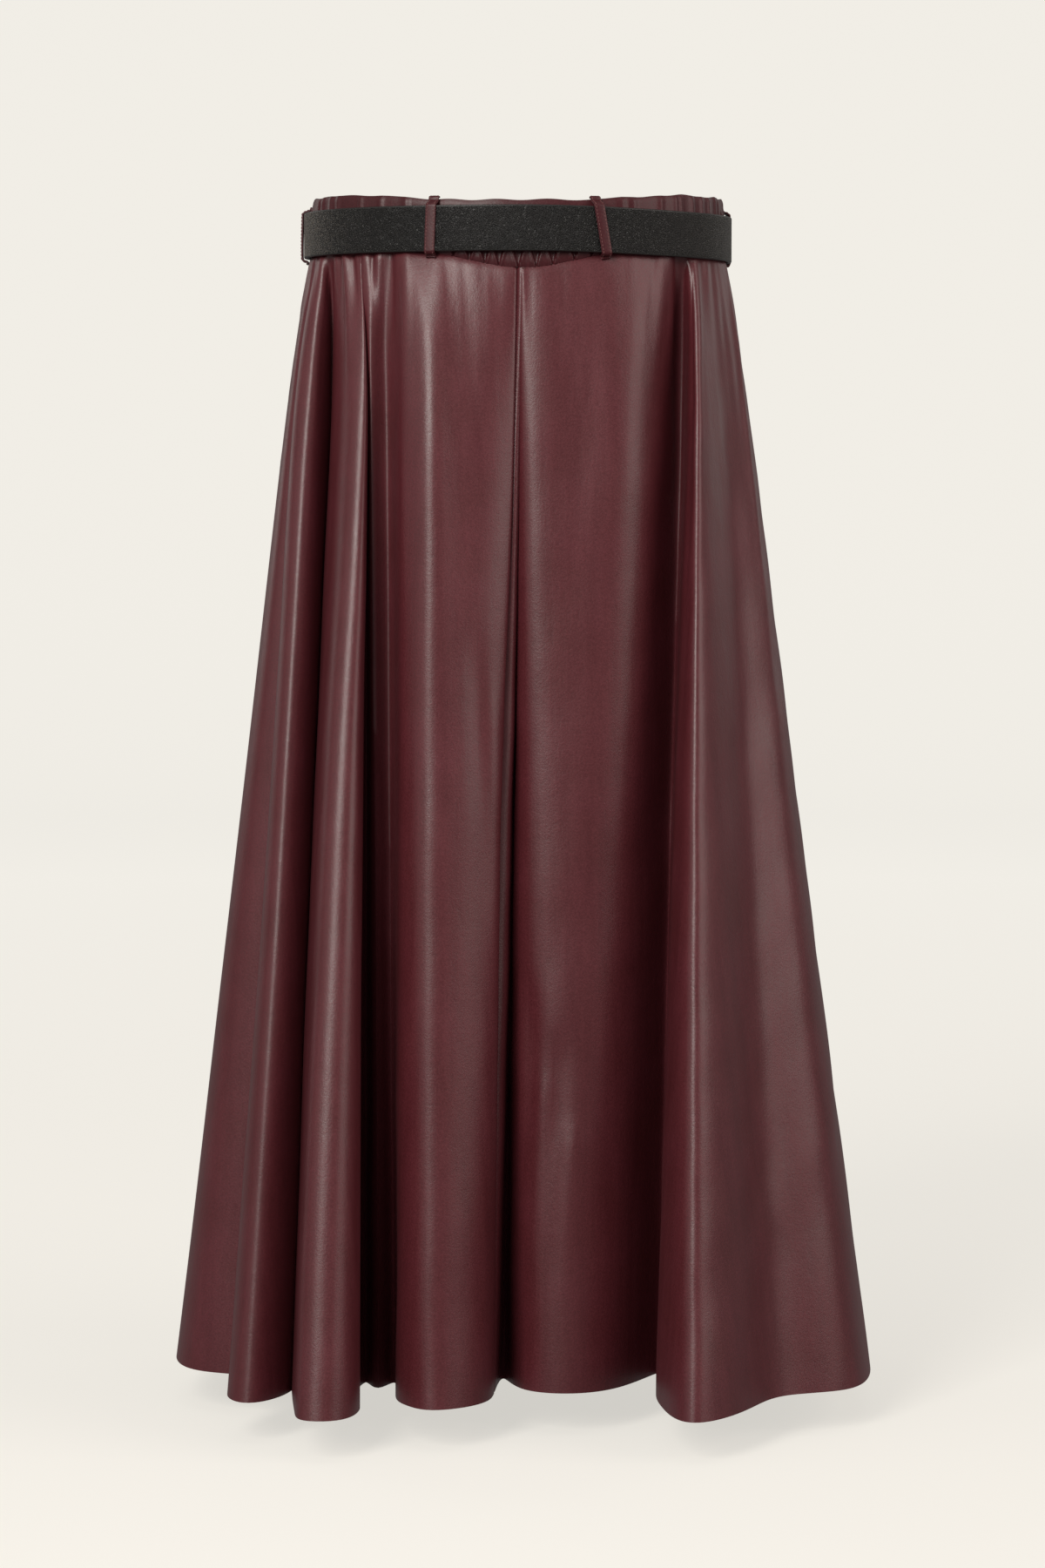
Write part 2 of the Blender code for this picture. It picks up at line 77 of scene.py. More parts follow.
# Fold lines in order round the skirt from the left side.  root: where the line leaves the
# waist, in degrees from the left side (90 is the centre back).  hem_x, hem_y: where it meets the
# hem.  hip_x, hip_y: how far it bows out of a straight line at the hip.  Lengths in millimetres.
LINE_COLUMNS = ("name", "root", "hem_x", "hem_y", "hip_x", "hip_y")
LINES = (
    ("left_side", 0, -247, 12, -4, 0),
    ("a_round", 5, -244, -40, -4, 0),
    ("a_shoulder", 10, -224, -70, -4, -2),
    ("ab_valley", 14, -190, -88, -2, 2),
    ("b_left", 16, -202, -140, -7, -4),
    ("b_crest", 19, -188, -173, -3, -6),
    ("b_right", 22, -164, -148, 0, -2),
    ("bc_valley", 26, -161, -74, 4, 14),
    ("c_left", 32, -153, -204, 6, -2),
    ("c_crest", 35.5, -145, -228, 9, -7),
    ("c_face", 38, -128, -229, 9, -7),
    ("c_right", 41, -111, -197, 6, -4),
    ("cd_flank", 43, -114, -128, 2, 1),
    ("d_valley", 44.5, -108, -107, 1, -5),
    ("d_crest", 46.5, -100, -125, 0, -4),
    ("d_right", 50, -91, -110, 1, 3),
    ("e_left", 56.5, -86, -150, 0, -8),
    ("e_shoulder", 59.5, -79, -180, 2, -13),
    ("e_crest", 63.5, -64, -195, 5, -16),
    ("e_top", 70, -46, -191, 4, -10),
    ("e_right", 81, -26, -170, 2, -5),
    ("centre_back", 90, -20, -140, 1, 0),
    ("f_valley", 91.5, -13, -95, 0, 0),
    ("f_left", 95, 1, -129, 0, -5),
    ("f_crest", 108, 26, -143, 0, -4),
    ("f_right", 129, 64, -126, -5, -12),
    ("fg_valley", 140, 96, -76, 2, 15),
    ("g_flank", 144, 92, -142, 4, 0),
    ("g_left", 146, 95, -190, 4, -5),
    ("g_crest", 149, 113, -234, 2, -8),
    ("g_back", 155, 146, -204, 2, -2),
    ("g_hollow", 163, 182, -149, 3, 0),
    ("g_side", 171, 222, -131, 3, 0),
    ("right_round", 176, 242, -86, 3, 0),
    ("right_side", 182, 247, -12, 3, 0),
    ("h_round", 189, 233, 60, 3, 0),
    ("hi_valley", 196, 197, 86, 2, -4),
    ("i_left", 203, 184, 140, 1, 0),
    ("i_crest", 212, 161, 194, 0, 4),
    ("i_right", 221, 128, 180, 0, 2),
    ("ij_valley", 230, 112, 118, 0, -5),
    ("j_left", 239, 78, 152, 0, 0),
    ("j_crest", 249, 46, 206, 0, 4),
    ("j_right", 258, 15, 188, 0, 2),
    ("jk_valley", 267, 2, 124, 0, -5),
    ("k_left", 276, -26, 152, 0, 0),
    ("k_crest", 286, -58, 210, 0, 4),
    ("k_right", 295, -91, 192, 0, 2),
    ("kl_valley", 305, -104, 126, 0, -5),
    ("l_left", 315, -142, 150, 0, 0),
    ("l_crest", 326, -173, 184, -2, 3),
    ("l_right", 336, -196, 148, -3, 0),
    ("lm_valley", 344, -200, 94, -4, -3),
    ("m_round", 352, -236, 62, -4, 0),
)

PANELS = (
    ("back_left_panel", "left_side", "centre_back"),
    ("back_right_panel", "centre_back", "right_side"),
    ("front_panel", "right_side", "left_side"),
)

# Soft creases in the cloth.  root: degrees from the left side.  start, length: millimetres below
# the waist seam.  depth: millimetres, troughs positive and ridges negative.  width: half width in
# millimetres at the top; it grows by the spread by the crease's end.  lean: degrees that the
# crease's root moves by its end.
CREASE_COLUMNS = ("root", "start", "length", "depth", "width", "spread", "lean")
CREASES = (
    (20.5, 0, 160, -1.4, 3.0, 2.0, 0.0),
    (27.0, 0, 200, 2.4, 4.0, 1.8, 0.0),
    (31.5, -4, 60, 1.8, 2.6, 2.0, 0.0),
    (34.3, 0, 110, -2.2, 2.2, 1.8, -1.0),
    (37.8, -5, 60, 2.8, 2.6, 1.6, -1.0),
    (43.8, 0, 90, -2.0, 3.0, 1.8, -0.5),
    (46.8, -5, 50, 2.4, 2.2, 1.8, 0.0),
    (49.0, 0, 70, -2.0, 2.6, 1.8, 0.0),
    (52.8, -6, 80, 3.0, 3.4, 1.8, 0.4),
    (58.5, -4, 160, -2.0, 4.4, 1.6, 0.5),
    (64.0, -4, 70, 0.8, 3.0, 2.0, 0.0),
    (70.0, -4, 80, 0.6, 3.4, 2.0, 0.0),
    (75.5, -2, 90, 0.4, 4.0, 2.0, 0.5),
    (78.0, 270, 290, 1.6, 7.0, 1.4, 6.0),
    (83.0, 300, 230, -1.4, 6.0, 1.4, 3.5),
    (91.6, 4, 230, -0.9, 2.6, 1.6, 0.0),
    (99.0, -2, 70, 0.4, 4.0, 2.0, 0.0),
    (107.0, -2, 60, 0.4, 4.0, 2.0, 0.0),
    (129.0, -5, 40, 0.8, 3.4, 2.0, 0.0),
    (135.5, -2, 130, -1.4, 4.0, 2.0, -3.0),
    (139.5, -5, 230, 3.2, 5.0, 1.5, 0.5),
    (148.2, 4, 240, -1.4, 3.6, 2.0, 0.0),
    (172.0, 10, 360, -1.6, 3.0, 1.6, 0.0),
    (95.0, 500, 230, 3.0, 8.0, 1.5, 5.0),
    (100.0, 560, 190, -2.6, 7.0, 1.4, -3.0),
    (105.0, 540, 200, 2.6, 9.0, 1.4, -5.0),
    (111.0, 600, 150, -2.0, 8.0, 1.4, -4.0),
)


def periodic_spline(knots, values, period):
    """The smooth closed curve through values at knots, as a function of its parameter."""
    count = len(knots)
    step = np.diff(np.append(knots, knots[0] + period))
    before = np.roll(step, 1)
    slope = (np.roll(values, -1) - values) / step
    system = np.zeros((count, count))
    for i in range(count):
        system[i, i] = 2 * (before[i] + step[i])
        system[i, (i + 1) % count] += step[i]
        system[i, i - 1] += before[i]
    bend = np.linalg.solve(system, 6 * (slope - np.roll(slope, 1)))

    def evaluate(u):
        u = np.asarray(u, float) % period
        i = np.clip(np.searchsorted(knots, u, side="right") - 1, 0, count - 1)
        j = (i + 1) % count
        h = step[i]
        left = knots[i] + h - u
        right = u - knots[i]
        curved = (bend[i] * left ** 3 + bend[j] * right ** 3) / (6 * h)
        return (curved + (values[i] / h - bend[i] * h / 6) * left
                + (values[j] / h - bend[j] * h / 6) * right)

    return evaluate


def smooth(share):
    """0 to 1 with level ends."""
    share = np.clip(share, 0.0, 1.0)
    return share * share * (3 - 2 * share)


def seam_height(x, y):
    """Height of the seam between waistband and skirt: it dips at the centre back."""
    at_back = smooth(-y / (0.5 * BAND_BOTTOM_HALF[1]))
    dip = 1 - smooth(np.abs(x) / DIP_HALF_WIDTH)
    return SEAM_SIDE + (SEAM_BACK - SEAM_SIDE) * dip * at_back


def band_top_height(x):
    """Height of the waistband's top edge: level at the centre back, then rising to the sides."""
    rising = smooth((np.abs(x) - BAND_TOP_LEVEL) / BAND_TOP_RISE)
    return BAND_TOP_BACK + (BAND_TOP_SIDE - BAND_TOP_BACK) * rising


class SkirtForm:
    """The middle surface of the skirt's wall: u runs round it, t from the waist to the hem."""

    def __init__(self):
        table = {column: np.array([row[i + 1] for row in LINES], float)
                 for i, column in enumerate(LINE_COLUMNS[1:])}
        chord = np.hypot(np.roll(table["hem_x"], -1) - table["hem_x"],
                         np.roll(table["hem_y"], -1) - table["hem_y"]) * MM
        self.period = chord.sum()
        self.knots = np.concatenate(([0.0], np.cumsum(chord)[:-1]))
        self.at = dict(zip([row[0] for row in LINES], self.knots))
        ahead = table["root"] - 360.0 * self.knots / self.period
        self.ahead = self.curve(ahead)
        self.hem = [self.curve(table[c] * MM) for c in ("hem_x", "hem_y")]
        self.hip = [self.curve(table[c] * MM) for c in ("hip_x", "hip_y")]

    def curve(self, values):
        """The closed curve through one value for each fold line."""
        return periodic_spline(self.knots, values, self.period)

    def root(self, u):
        """Where the line at u leaves the waist, in degrees from the left side."""
        return self.ahead(u) + 360.0 * np.asarray(u) / self.period

    def point(self, u, t):
        """Where u and t lie in space."""
        root = np.radians(self.root(u))
        top_x = WAIST_X - BAND_BOTTOM_HALF[0] * np.cos(root)
        top_y = -BAND_BOTTOM_HALF[1] * np.sin(root)
        bow = t / HIP_SHARE * np.exp(1 - t / HIP_SHARE)
        x = top_x + (self.hem[0](u) - top_x) * t + self.hip[0](u) * bow
        y = top_y + (self.hem[1](u) - top_y) * t + self.hip[1](u) * bow
        top_z = seam_height(top_x, top_y)
        return np.stack([x, y, top_z + (HEM_Z - top_z) * t + 0 * x], axis=-1)


FORM = SkirtForm()


def grid_normals(points, closed=False):
    """Outward normals of a grid of points, columns running round and rows running down."""
    if closed:
        along = np.roll(points, -1, axis=0) - np.roll(points, 1, axis=0)
    else:
        along = np.gradient(points, axis=0)
    down = np.gradient(points, axis=1)
    out = np.cross(down, along)
    return out / np.linalg.norm(out, axis=-1, keepdims=True)


# ---------------------------------------------------------------------------------------------
# Materials
# ---------------------------------------------------------------------------------------------
LEATHER = "coated burgundy faux leather, calendered"
# A darker, duller copy of the cloth: painted shade on the waistband and belt loops.
PAINTED_SHADE_LEATHER = "burgundy faux leather, darkened as painted shade"
BACKING = "brushed knit backing, dyed"
STRAP_LEATHER = "black cowhide, pebble embossed"
EDGE_PAINT = "black acrylic edge paint, burnished"
THREAD = "burgundy polyester thread, twisted"
GUNMETAL = "cast zinc, gunmetal plated"
PAPER = "seamless paper, warm white"
# How much of the cloth's colour and gloss that copy keeps, as painted shade.
PAINTED_SHADE_DEPTH = 0.60


def linear(hex_color):
    """An sRGB hex colour as linear RGBA."""
    def channel(value):
        return value / 12.92 if value <= 0.04045 else ((value + 0.055) / 1.055) ** 2.4
    parts = [int(hex_color[i:i + 2], 16) / 255 for i in (1, 3, 5)]
    return (*[channel(value) for value in parts], 1.0)


def add_node(tree, kind, settings=None, **links):
    """A node of that kind; settings are its properties, and links its sockets' values.

    A socket goes by its name, or as i and its number where several share a name."""
    node = tree.nodes.new(kind)
    for name, value in (settings or {}).items():
        setattr(node, name, value)
    for name, value in links.items():
        numbered = name[0] == "i" and name[1:].isdigit()
        socket = node.inputs[int(name[1:]) if numbered else name.replace("_", " ")]
        if isinstance(value, bpy.types.NodeSocket):
            tree.links.new(value, socket)
        else:
            socket.default_value = value
    return node


def new_material(name):
    """An empty material and its node tree."""
    made = bpy.data.materials.new(name)
    made.use_nodes = True
    made.node_tree.nodes.clear()
    return made, made.node_tree


def finish_material(tree, shader):
    """Gives the shader to the material's surface."""
    add_node(tree, "ShaderNodeOutputMaterial", Surface=shader.outputs["BSDF"])


def tone(tree, factor, dark, light):
    """A colour between two hex colours."""
    mix = add_node(tree, "ShaderNodeMix", {"data_type": "RGBA"}, Factor=factor)
    mix.inputs[6].default_value = linear(dark)
    mix.inputs[7].default_value = linear(light)
    return mix.outputs[2]


def spread(tree, value, low, high):
    """A 0 to 1 value as low to high."""
    made = add_node(tree, "ShaderNodeMapRange", None, Value=value, To_Min=low, To_Max=high)
    return made.outputs["Result"]


def faux_leather(colors, name=LEATHER, depth=1.0):
    """Polyurethane coating on knit, calendered smooth: a deep colour under a soft satin gloss,
    with a fine grain that breaks the highlights into a faint sparkle.  The grain is 1.3 mm,
    coarser than the real 0.3 mm, so that it shows.  A depth under 1 makes it darker and duller:
    painted shade, used on the waistband and belt loops."""
    made, tree = new_material(name)
    place = add_node(tree, "ShaderNodeTexCoord").outputs["Object"]
    cloud = add_node(tree, "ShaderNodeTexNoise", None, Vector=place, Scale=1 / 0.040, Detail=4.0,
                     Roughness=0.6).outputs["Fac"]
    fine = add_node(tree, "ShaderNodeTexNoise", None, Vector=place, Scale=1 / 0.0013, Detail=2.0,
                    Roughness=0.6).outputs["Fac"]
    drawn = add_node(tree, "ShaderNodeMapping", None, Vector=place, Scale=(1.0, 1.0, 0.09))
    streak = add_node(tree, "ShaderNodeTexNoise", None, Vector=drawn.outputs["Vector"],
                      Scale=1 / 0.011, Detail=3.5, Roughness=0.6).outputs["Fac"]
    patches = tone(tree, cloud, colors.cloth_dark, colors.cloth_light)
    # A depth under 1 scales this colour down: painted shade.
    speckle = add_node(tree, "ShaderNodeMapRange", None, Value=fine, From_Min=0.3, From_Max=0.7,
                       To_Min=0.84 * depth, To_Max=1.16 * depth).outputs["Result"]
    shade = add_node(tree, "ShaderNodeMath", {"operation": "MULTIPLY"}, i0=speckle,
                     i1=spread(tree, streak, 0.80, 1.20))
    body = add_node(tree, "ShaderNodeMix", {"data_type": "RGBA", "blend_type": "MULTIPLY"}, Factor=1.0)
    tree.links.new(patches, body.inputs[6])
    tree.links.new(shade.outputs[0], body.inputs[7])
    rough = add_node(tree, "ShaderNodeMath", {"operation": "ADD"},
                     i0=spread(tree, streak, 0.31, 0.51), i1=spread(tree, fine, -0.09, 0.09))
    soft = add_node(tree, "ShaderNodeBump", None, Height=cloud, Strength=0.4, Distance=0.0010)
    pulled = add_node(tree, "ShaderNodeBump", None, Height=streak, Strength=0.3, Distance=0.0007,
                      Normal=soft.outputs["Normal"])
    bump = add_node(tree, "ShaderNodeBump", None, Height=fine, Strength=0.45, Distance=0.00025,
                    Normal=pulled.outputs["Normal"])
    # A depth under 1 turns the gloss down as well, with that painted shade.
    shader = add_node(tree, "ShaderNodeBsdfPrincipled", None, Base_Color=body.outputs[2], IOR=1.5,
                      Roughness=rough.outputs[0], Normal=bump.outputs["Normal"],
                      Specular_IOR_Level=0.5 * depth, Coat_Weight=0.06, Coat_Roughness=0.30)
    finish_material(tree, shader)
    return made


def knit_backing():
    """Brushed polyester knit glued under the coating: matte, a little paler than the face."""
    made, tree = new_material(BACKING)
    place = add_node(tree, "ShaderNodeTexCoord").outputs["Object"]
    rows = add_node(tree, "ShaderNodeTexWave", {"bands_direction": "Z"}, Vector=place,
                    Scale=1 / 0.0045, Distortion=1.5, Detail=1.0).outputs["Fac"]
    body = tone(tree, rows, "#4a2829", "#5c3535")
    bump = add_node(tree, "ShaderNodeBump", None, Height=rows, Strength=0.4, Distance=0.0003)
    shader = add_node(tree, "ShaderNodeBsdfPrincipled", None, Base_Color=body, Roughness=0.9,
                      Normal=bump.outputs["Normal"], Sheen_Weight=0.3)
    finish_material(tree, shader)
    return made


def pebbled_leather(colors):
    """Black cowhide pressed with a pebble grain: round grains that each catch a point of light,
    over a nearly black, low-sheen finish.  The grains are about 1.3 mm across, a little coarser
    than real ones, so that they show."""
    made, tree = new_material(STRAP_LEATHER)
    place = add_node(tree, "ShaderNodeTexCoord").outputs["Object"]
    bend = add_node(tree, "ShaderNodeTexNoise", None, Vector=place, Scale=1 / 0.003,
                    Detail=0.0).outputs["Color"]
    warped = add_node(tree, "ShaderNodeVectorMath", {"operation": "MULTIPLY_ADD"}, i0=bend,
                      i1=(0.0006, 0.0006, 0.0006), i2=place).outputs["Vector"]
    pebble = add_node(tree, "ShaderNodeTexVoronoi", {"feature": "DISTANCE_TO_EDGE"},
                      Vector=warped, Scale=1 / 0.0013).outputs["Distance"]
    dome = add_node(tree, "ShaderNodeMapRange", {"interpolation_type": "SMOOTHSTEP"},
                    Value=pebble, From_Max=0.30).outputs["Result"]
    cloud = add_node(tree, "ShaderNodeTexNoise", None, Vector=place, Scale=1 / 0.02,
                     Detail=2.0).outputs["Fac"]
    # Lighter on the pebbles' tops, as a painted highlight, and darker in the grooves between them, as
    # painted shade.
    body = tone(tree, dome, colors.strap_dark, colors.strap_light)
    bump = add_node(tree, "ShaderNodeBump", None, Height=dome, Strength=0.8, Distance=0.0004)
    shader = add_node(tree, "ShaderNodeBsdfPrincipled", None, Base_Color=body, IOR=1.5,
                      Roughness=spread(tree, cloud, 0.42, 0.50), Normal=bump.outputs["Normal"],
                      Specular_IOR_Level=0.35, Sheen_Weight=0.40, Sheen_Roughness=0.35,
                      Sheen_Tint=linear("#a09588"))
    finish_material(tree, shader)
    return made


def edge_paint():
    """Acrylic edge paint, rubbed smooth: black with a slightly sharper gloss than the face."""
    made, tree = new_material(EDGE_PAINT)
    place = add_node(tree, "ShaderNodeTexCoord").outputs["Object"]
    uneven = add_node(tree, "ShaderNodeTexNoise", None, Vector=place, Scale=1 / 0.004,
                      Detail=2.0).outputs["Fac"]
    bump = add_node(tree, "ShaderNodeBump", None, Height=uneven, Strength=0.25, Distance=0.0002)
    shader = add_node(tree, "ShaderNodeBsdfPrincipled", None, Base_Color=linear("#1a1918"),
                      Roughness=spread(tree, uneven, 0.32, 0.45), Normal=bump.outputs["Normal"])
    finish_material(tree, shader)
    return made


def sewing_thread():
    """Spun polyester thread: matte, twisted plies that read as a slightly paler dotted line."""
    made, tree = new_material(THREAD)
    place = add_node(tree, "ShaderNodeTexCoord").outputs["Object"]
    ply = add_node(tree, "ShaderNodeTexWave", {"bands_direction": "DIAGONAL"}, Vector=place,
                   Scale=1 / 0.0009).outputs["Fac"]
    body = tone(tree, ply, "#63393a", "#7a4f4d")
    shader = add_node(tree, "ShaderNodeBsdfPrincipled", None, Base_Color=body, Roughness=0.7)
    finish_material(tree, shader)
    return made


def gunmetal():
    """Cast zinc, tumbled and plated gunmetal: a dark mirror softened by fine handling marks."""
    made, tree = new_material(GUNMETAL)
    place = add_node(tree, "ShaderNodeTexCoord").outputs["Object"]
    marks = add_node(tree, "ShaderNodeTexNoise", None, Vector=place, Scale=1 / 0.002, Detail=4.0,
                     Distortion=0.4).outputs["Fac"]
    body = tone(tree, marks, "#4b4946", "#5b5955")
    bump = add_node(tree, "ShaderNodeBump", None, Height=marks, Strength=0.1, Distance=0.0001)
    shader = add_node(tree, "ShaderNodeBsdfPrincipled", None, Base_Color=body, Metallic=1.0,
                      Roughness=spread(tree, marks, 0.22, 0.38), Normal=bump.outputs["Normal"])
    finish_material(tree, shader)
    return made


def seamless_paper(colors):
    """Seamless background paper: warm and matte.  It glows a little, and more towards the back,
    where less light reaches it, so that it looks plain and even."""
    made, tree = new_material(PAPER)
    place = add_node(tree, "ShaderNodeTexCoord").outputs["Object"]
    fibre = add_node(tree, "ShaderNodeTexNoise", None, Vector=place, Scale=1 / 0.01,
                     Detail=3.0).outputs["Fac"]
    bump = add_node(tree, "ShaderNodeBump", None, Height=fibre, Strength=0.05, Distance=0.0003)
    where = add_node(tree, "ShaderNodeSeparateXYZ", None, Vector=place).outputs["Y"]
    glow = add_node(tree, "ShaderNodeMapRange", None, Value=where, From_Min=0.0, From_Max=4.0,
                    To_Min=0.725, To_Max=0.895).outputs["Result"]
    shader = add_node(tree, "ShaderNodeBsdfPrincipled", None,
                      Base_Color=linear("#979590"), Roughness=0.95, Specular_IOR_Level=0.0,
                      Normal=bump.outputs["Normal"], Emission_Color=linear(colors.paper),
                      Emission_Strength=glow)
    finish_material(tree, shader)
    return made


# ---------------------------------------------------------------------------------------------
# Meshes
# ---------------------------------------------------------------------------------------------
SHARP_ANGLE = math.radians(50)


def link_mesh(name, points, faces, slots, materials):
    """A smooth-shaded object with a material slot for each face."""
    mesh = bpy.data.meshes.new(name)
    mesh.from_pydata(np.asarray(points).reshape(-1, 3).tolist(), [], faces)
    for surface in materials:
        mesh.materials.append(surface)
    mesh.polygons.foreach_set("material_index", slots)
    mesh.shade_smooth()
    mesh.set_sharp_from_angle(angle=SHARP_ANGLE)
    mesh.update()
    made = bpy.data.objects.new(name, mesh)
    bpy.context.scene.collection.objects.link(made)
    return made


def wall(name, outer, inner, materials, closed=False):
    """A cloth wall between two grids of points; materials are those of face, back and edge."""
    columns, rows = outer.shape[:2]
    index = np.arange(columns * rows).reshape(columns, rows)
    if closed:
        index = np.vstack([index, index[:1]])
    back = index + columns * rows
    a, b, c, d = index[:-1, :-1], index[:-1, 1:], index[1:, 1:], index[1:, :-1]
    front_faces = np.stack([a, b, c, d], axis=-1).reshape(-1, 4)
    back_faces = front_faces[:, ::-1] + columns * rows
    top = np.stack([index[:-1, 0], index[1:, 0], back[1:, 0], back[:-1, 0]], axis=-1)
    foot = np.stack([index[1:, -1], index[:-1, -1], back[:-1, -1], back[1:, -1]], axis=-1)
    rims = [top, foot]
    if not closed:
        rims.append(np.stack([index[0, 1:], index[0, :-1], back[0, :-1], back[0, 1:]], axis=-1))
        rims.append(np.stack([index[-1, :-1], index[-1, 1:], back[-1, 1:], back[-1, :-1]], axis=-1))
    rim_faces = np.concatenate(rims)
    faces = np.concatenate([front_faces, back_faces, rim_faces])
    slots = [0] * len(front_faces) + [1] * len(back_faces) + [2] * len(rim_faces)
    points = np.concatenate([outer.reshape(-1, 3), inner.reshape(-1, 3)])
    return link_mesh(name, points, faces.tolist(), slots, materials)


def cell_noise(seed, u, v, scale_u, scale_v, waves=14):
    """Seeded smooth unevenness, about -1 to 1, with those wavelengths along u and v."""
    random = np.random.default_rng(seed)
    total = np.zeros(np.broadcast(u, v).shape)
    for _ in range(waves):
        stretch_u, stretch_v = random.uniform(0.6, 1.7, 2)
        phase_u, phase_v = random.uniform(0, 2 * math.pi, 2)
        way = random.choice((-1, 1))
        total += np.sin(2 * math.pi * u / (scale_u * stretch_u) + phase_u
                        + way * 2 * math.pi * v / (scale_v * stretch_v) + phase_v)
    return total / math.sqrt(waves)


# A crease comes in from this far before its start and over this much of it, as shares of its
# length, and fades by this power.
CREASE_LEAD = 0.12
CREASE_RISE = 0.2
CREASE_FADE = 0.8
# The tuck down the centre back: where it begins and begins to end, and over how much of the
# skirt's length it does so.
TUCK_START = 0.12
TUCK_RISE = 0.4
TUCK_END = 0.72
TUCK_FALL = 0.28


def crease_depth(root, below, degree):
    """How deep the creases press at that root angle and distance below the waist seam, in
    metres; degree is the length of cloth that one degree of root covers there."""
    depth = np.zeros(root.shape)
    for row in CREASES:
        crease = dict(zip(CREASE_COLUMNS, row))
        share = (below / MM - crease["start"]) / crease["length"]
        inside = np.clip(share, 0, 1)
        width = crease["width"] * (1 + (crease["spread"] - 1) * inside) * MM
        away = (root - crease["root"] - crease["lean"] * inside) * degree
        fade = smooth((share + CREASE_LEAD) / CREASE_RISE) * (1 - smooth(share)) ** CREASE_FADE
        depth += crease["depth"] * MM * fade * np.exp(-(away / width) ** 2)
    return depth


def seam_tuck(seam, away, t, cloth):
    """How far the cloth turns in beside a seam: a narrow groove, and at the centre back a deeper
    tuck further down."""
    groove = cloth.seam_roll * np.exp(-(away / cloth.seam_width) ** 2)
    if seam != "centre_back":
        return 0.5 * groove
    deep = smooth((t - TUCK_START) / TUCK_RISE) * (1 - smooth((t - TUCK_END) / TUCK_FALL))
    width = cloth.seam_width + cloth.tuck_width * deep
    return groove + cloth.tuck_depth * deep * np.exp(-(away / width) ** 2)


# A panel's columns crowd towards its seams, from this spacing, and its rows towards the waist.
SEAM_SPACING = 0.0006
SEAM_SPACING_GROWTH = 1.35
SEAM_COLUMNS = 8
ROW_CROWDING = 1.3
# Ripples under the waist seam: metres of cloth to a degree, and how they come in and fade.
RIPPLE_ARC = 0.0026
RIPPLE_START = 0.004
RIPPLE_FADE = 0.045
# How far from the waist seam the panels and the waistband turn in.
PANEL_ROLL_REACH = 0.0018
BAND_ROLL_REACH = 0.0016


def build_panel(name, first, last, cloth, materials):
    """One flared panel, creased, and turned in along its seams."""
    start, end = FORM.at[first], FORM.at[last]
    if end <= start:
        end += FORM.period
    crowded = SEAM_SPACING * SEAM_SPACING_GROWTH ** np.arange(SEAM_COLUMNS)
    near = np.cumsum(np.minimum(crowded, cloth.column_spacing))
    inner = np.linspace(start + near[-1], end - near[-1],
                        int((end - start - 2 * near[-1]) / cloth.column_spacing) + 2)
    u = np.concatenate([[start], start + near[:-1], inner, end - near[-2::-1], [end]])
    t = np.linspace(0, 1, cloth.rows) ** ROW_CROWDING
    grid_u, grid_t = np.meshgrid(u, t, indexing="ij")
    middle = FORM.point(grid_u, grid_t)
    normal = grid_normals(middle)
    step = np.linalg.norm(np.diff(middle, axis=0), axis=-1)
    across = np.vstack([np.zeros(cloth.rows), np.cumsum(step, axis=0)])
    root = FORM.root(grid_u)
    degree = np.gradient(across, axis=0) / np.gradient(root, axis=0)
    below = middle[:, :1, 2] - middle[:, :, 2]
    press = crease_depth(root, below, degree)
    gather = np.exp(-below / RIPPLE_FADE) * (1 - np.exp(-below / RIPPLE_START))
    press += cloth.gather_depth * gather * cell_noise(11, root * RIPPLE_ARC, below,
                                                      scale_u=0.016, scale_v=0.25)
    press += cloth.unevenness * cell_noise(23, grid_u * (0.35 + 0.65 * grid_t), below,
                                           scale_u=0.09, scale_v=0.45)
    tucks = seam_tuck(first, across, grid_t, cloth)
    tucks = tucks + seam_tuck(last, across[-1] - across, grid_t, cloth)
    press += tucks
    press += cloth.waist_roll * np.exp(-(below / PANEL_ROLL_REACH) ** 2)
    surface = middle - normal * press[..., None]
    normal = grid_normals(surface)
    half = normal * cloth.wall / 2
    panel = wall(name, surface + half, surface - half, materials)
    return panel


# Gathers of the waistband that show, as degrees from the left side.  Below the belt each is a
# V-shaped hollow with thin raised lips; above it each is one ridge.
LOW_GATHERS = (72.5, 76.9, 81.2, 85.0, 90.2, 95.1, 99.6, 105.6, 110.4)
HIGH_GATHERS = (16.0, 19.8, 25.9, 30.5, 41.6, 49.3, 58.0, 120.2, 123.9, 133.0, 139.3, 141.6,
                147.0, 152.2, 157.0, 162.6)
HIGH_RIDGE_WIDTH = 0.0024
PLAIN_RIDGE_WIDTH = 0.0018
# The hollows: their half width at the seam and how much wider they are at the top of the band,
# in degrees, and where they end as a share of its height; then their depth and lips, in metres.
HOLLOW_FOOT = 0.25
HOLLOW_GROWTH = 4.6
HOLLOW_TOP = 0.45
HOLLOW_DEPTH = 0.0016
LIP_HEIGHT = 0.0007
LIP_WIDTH = 0.0006


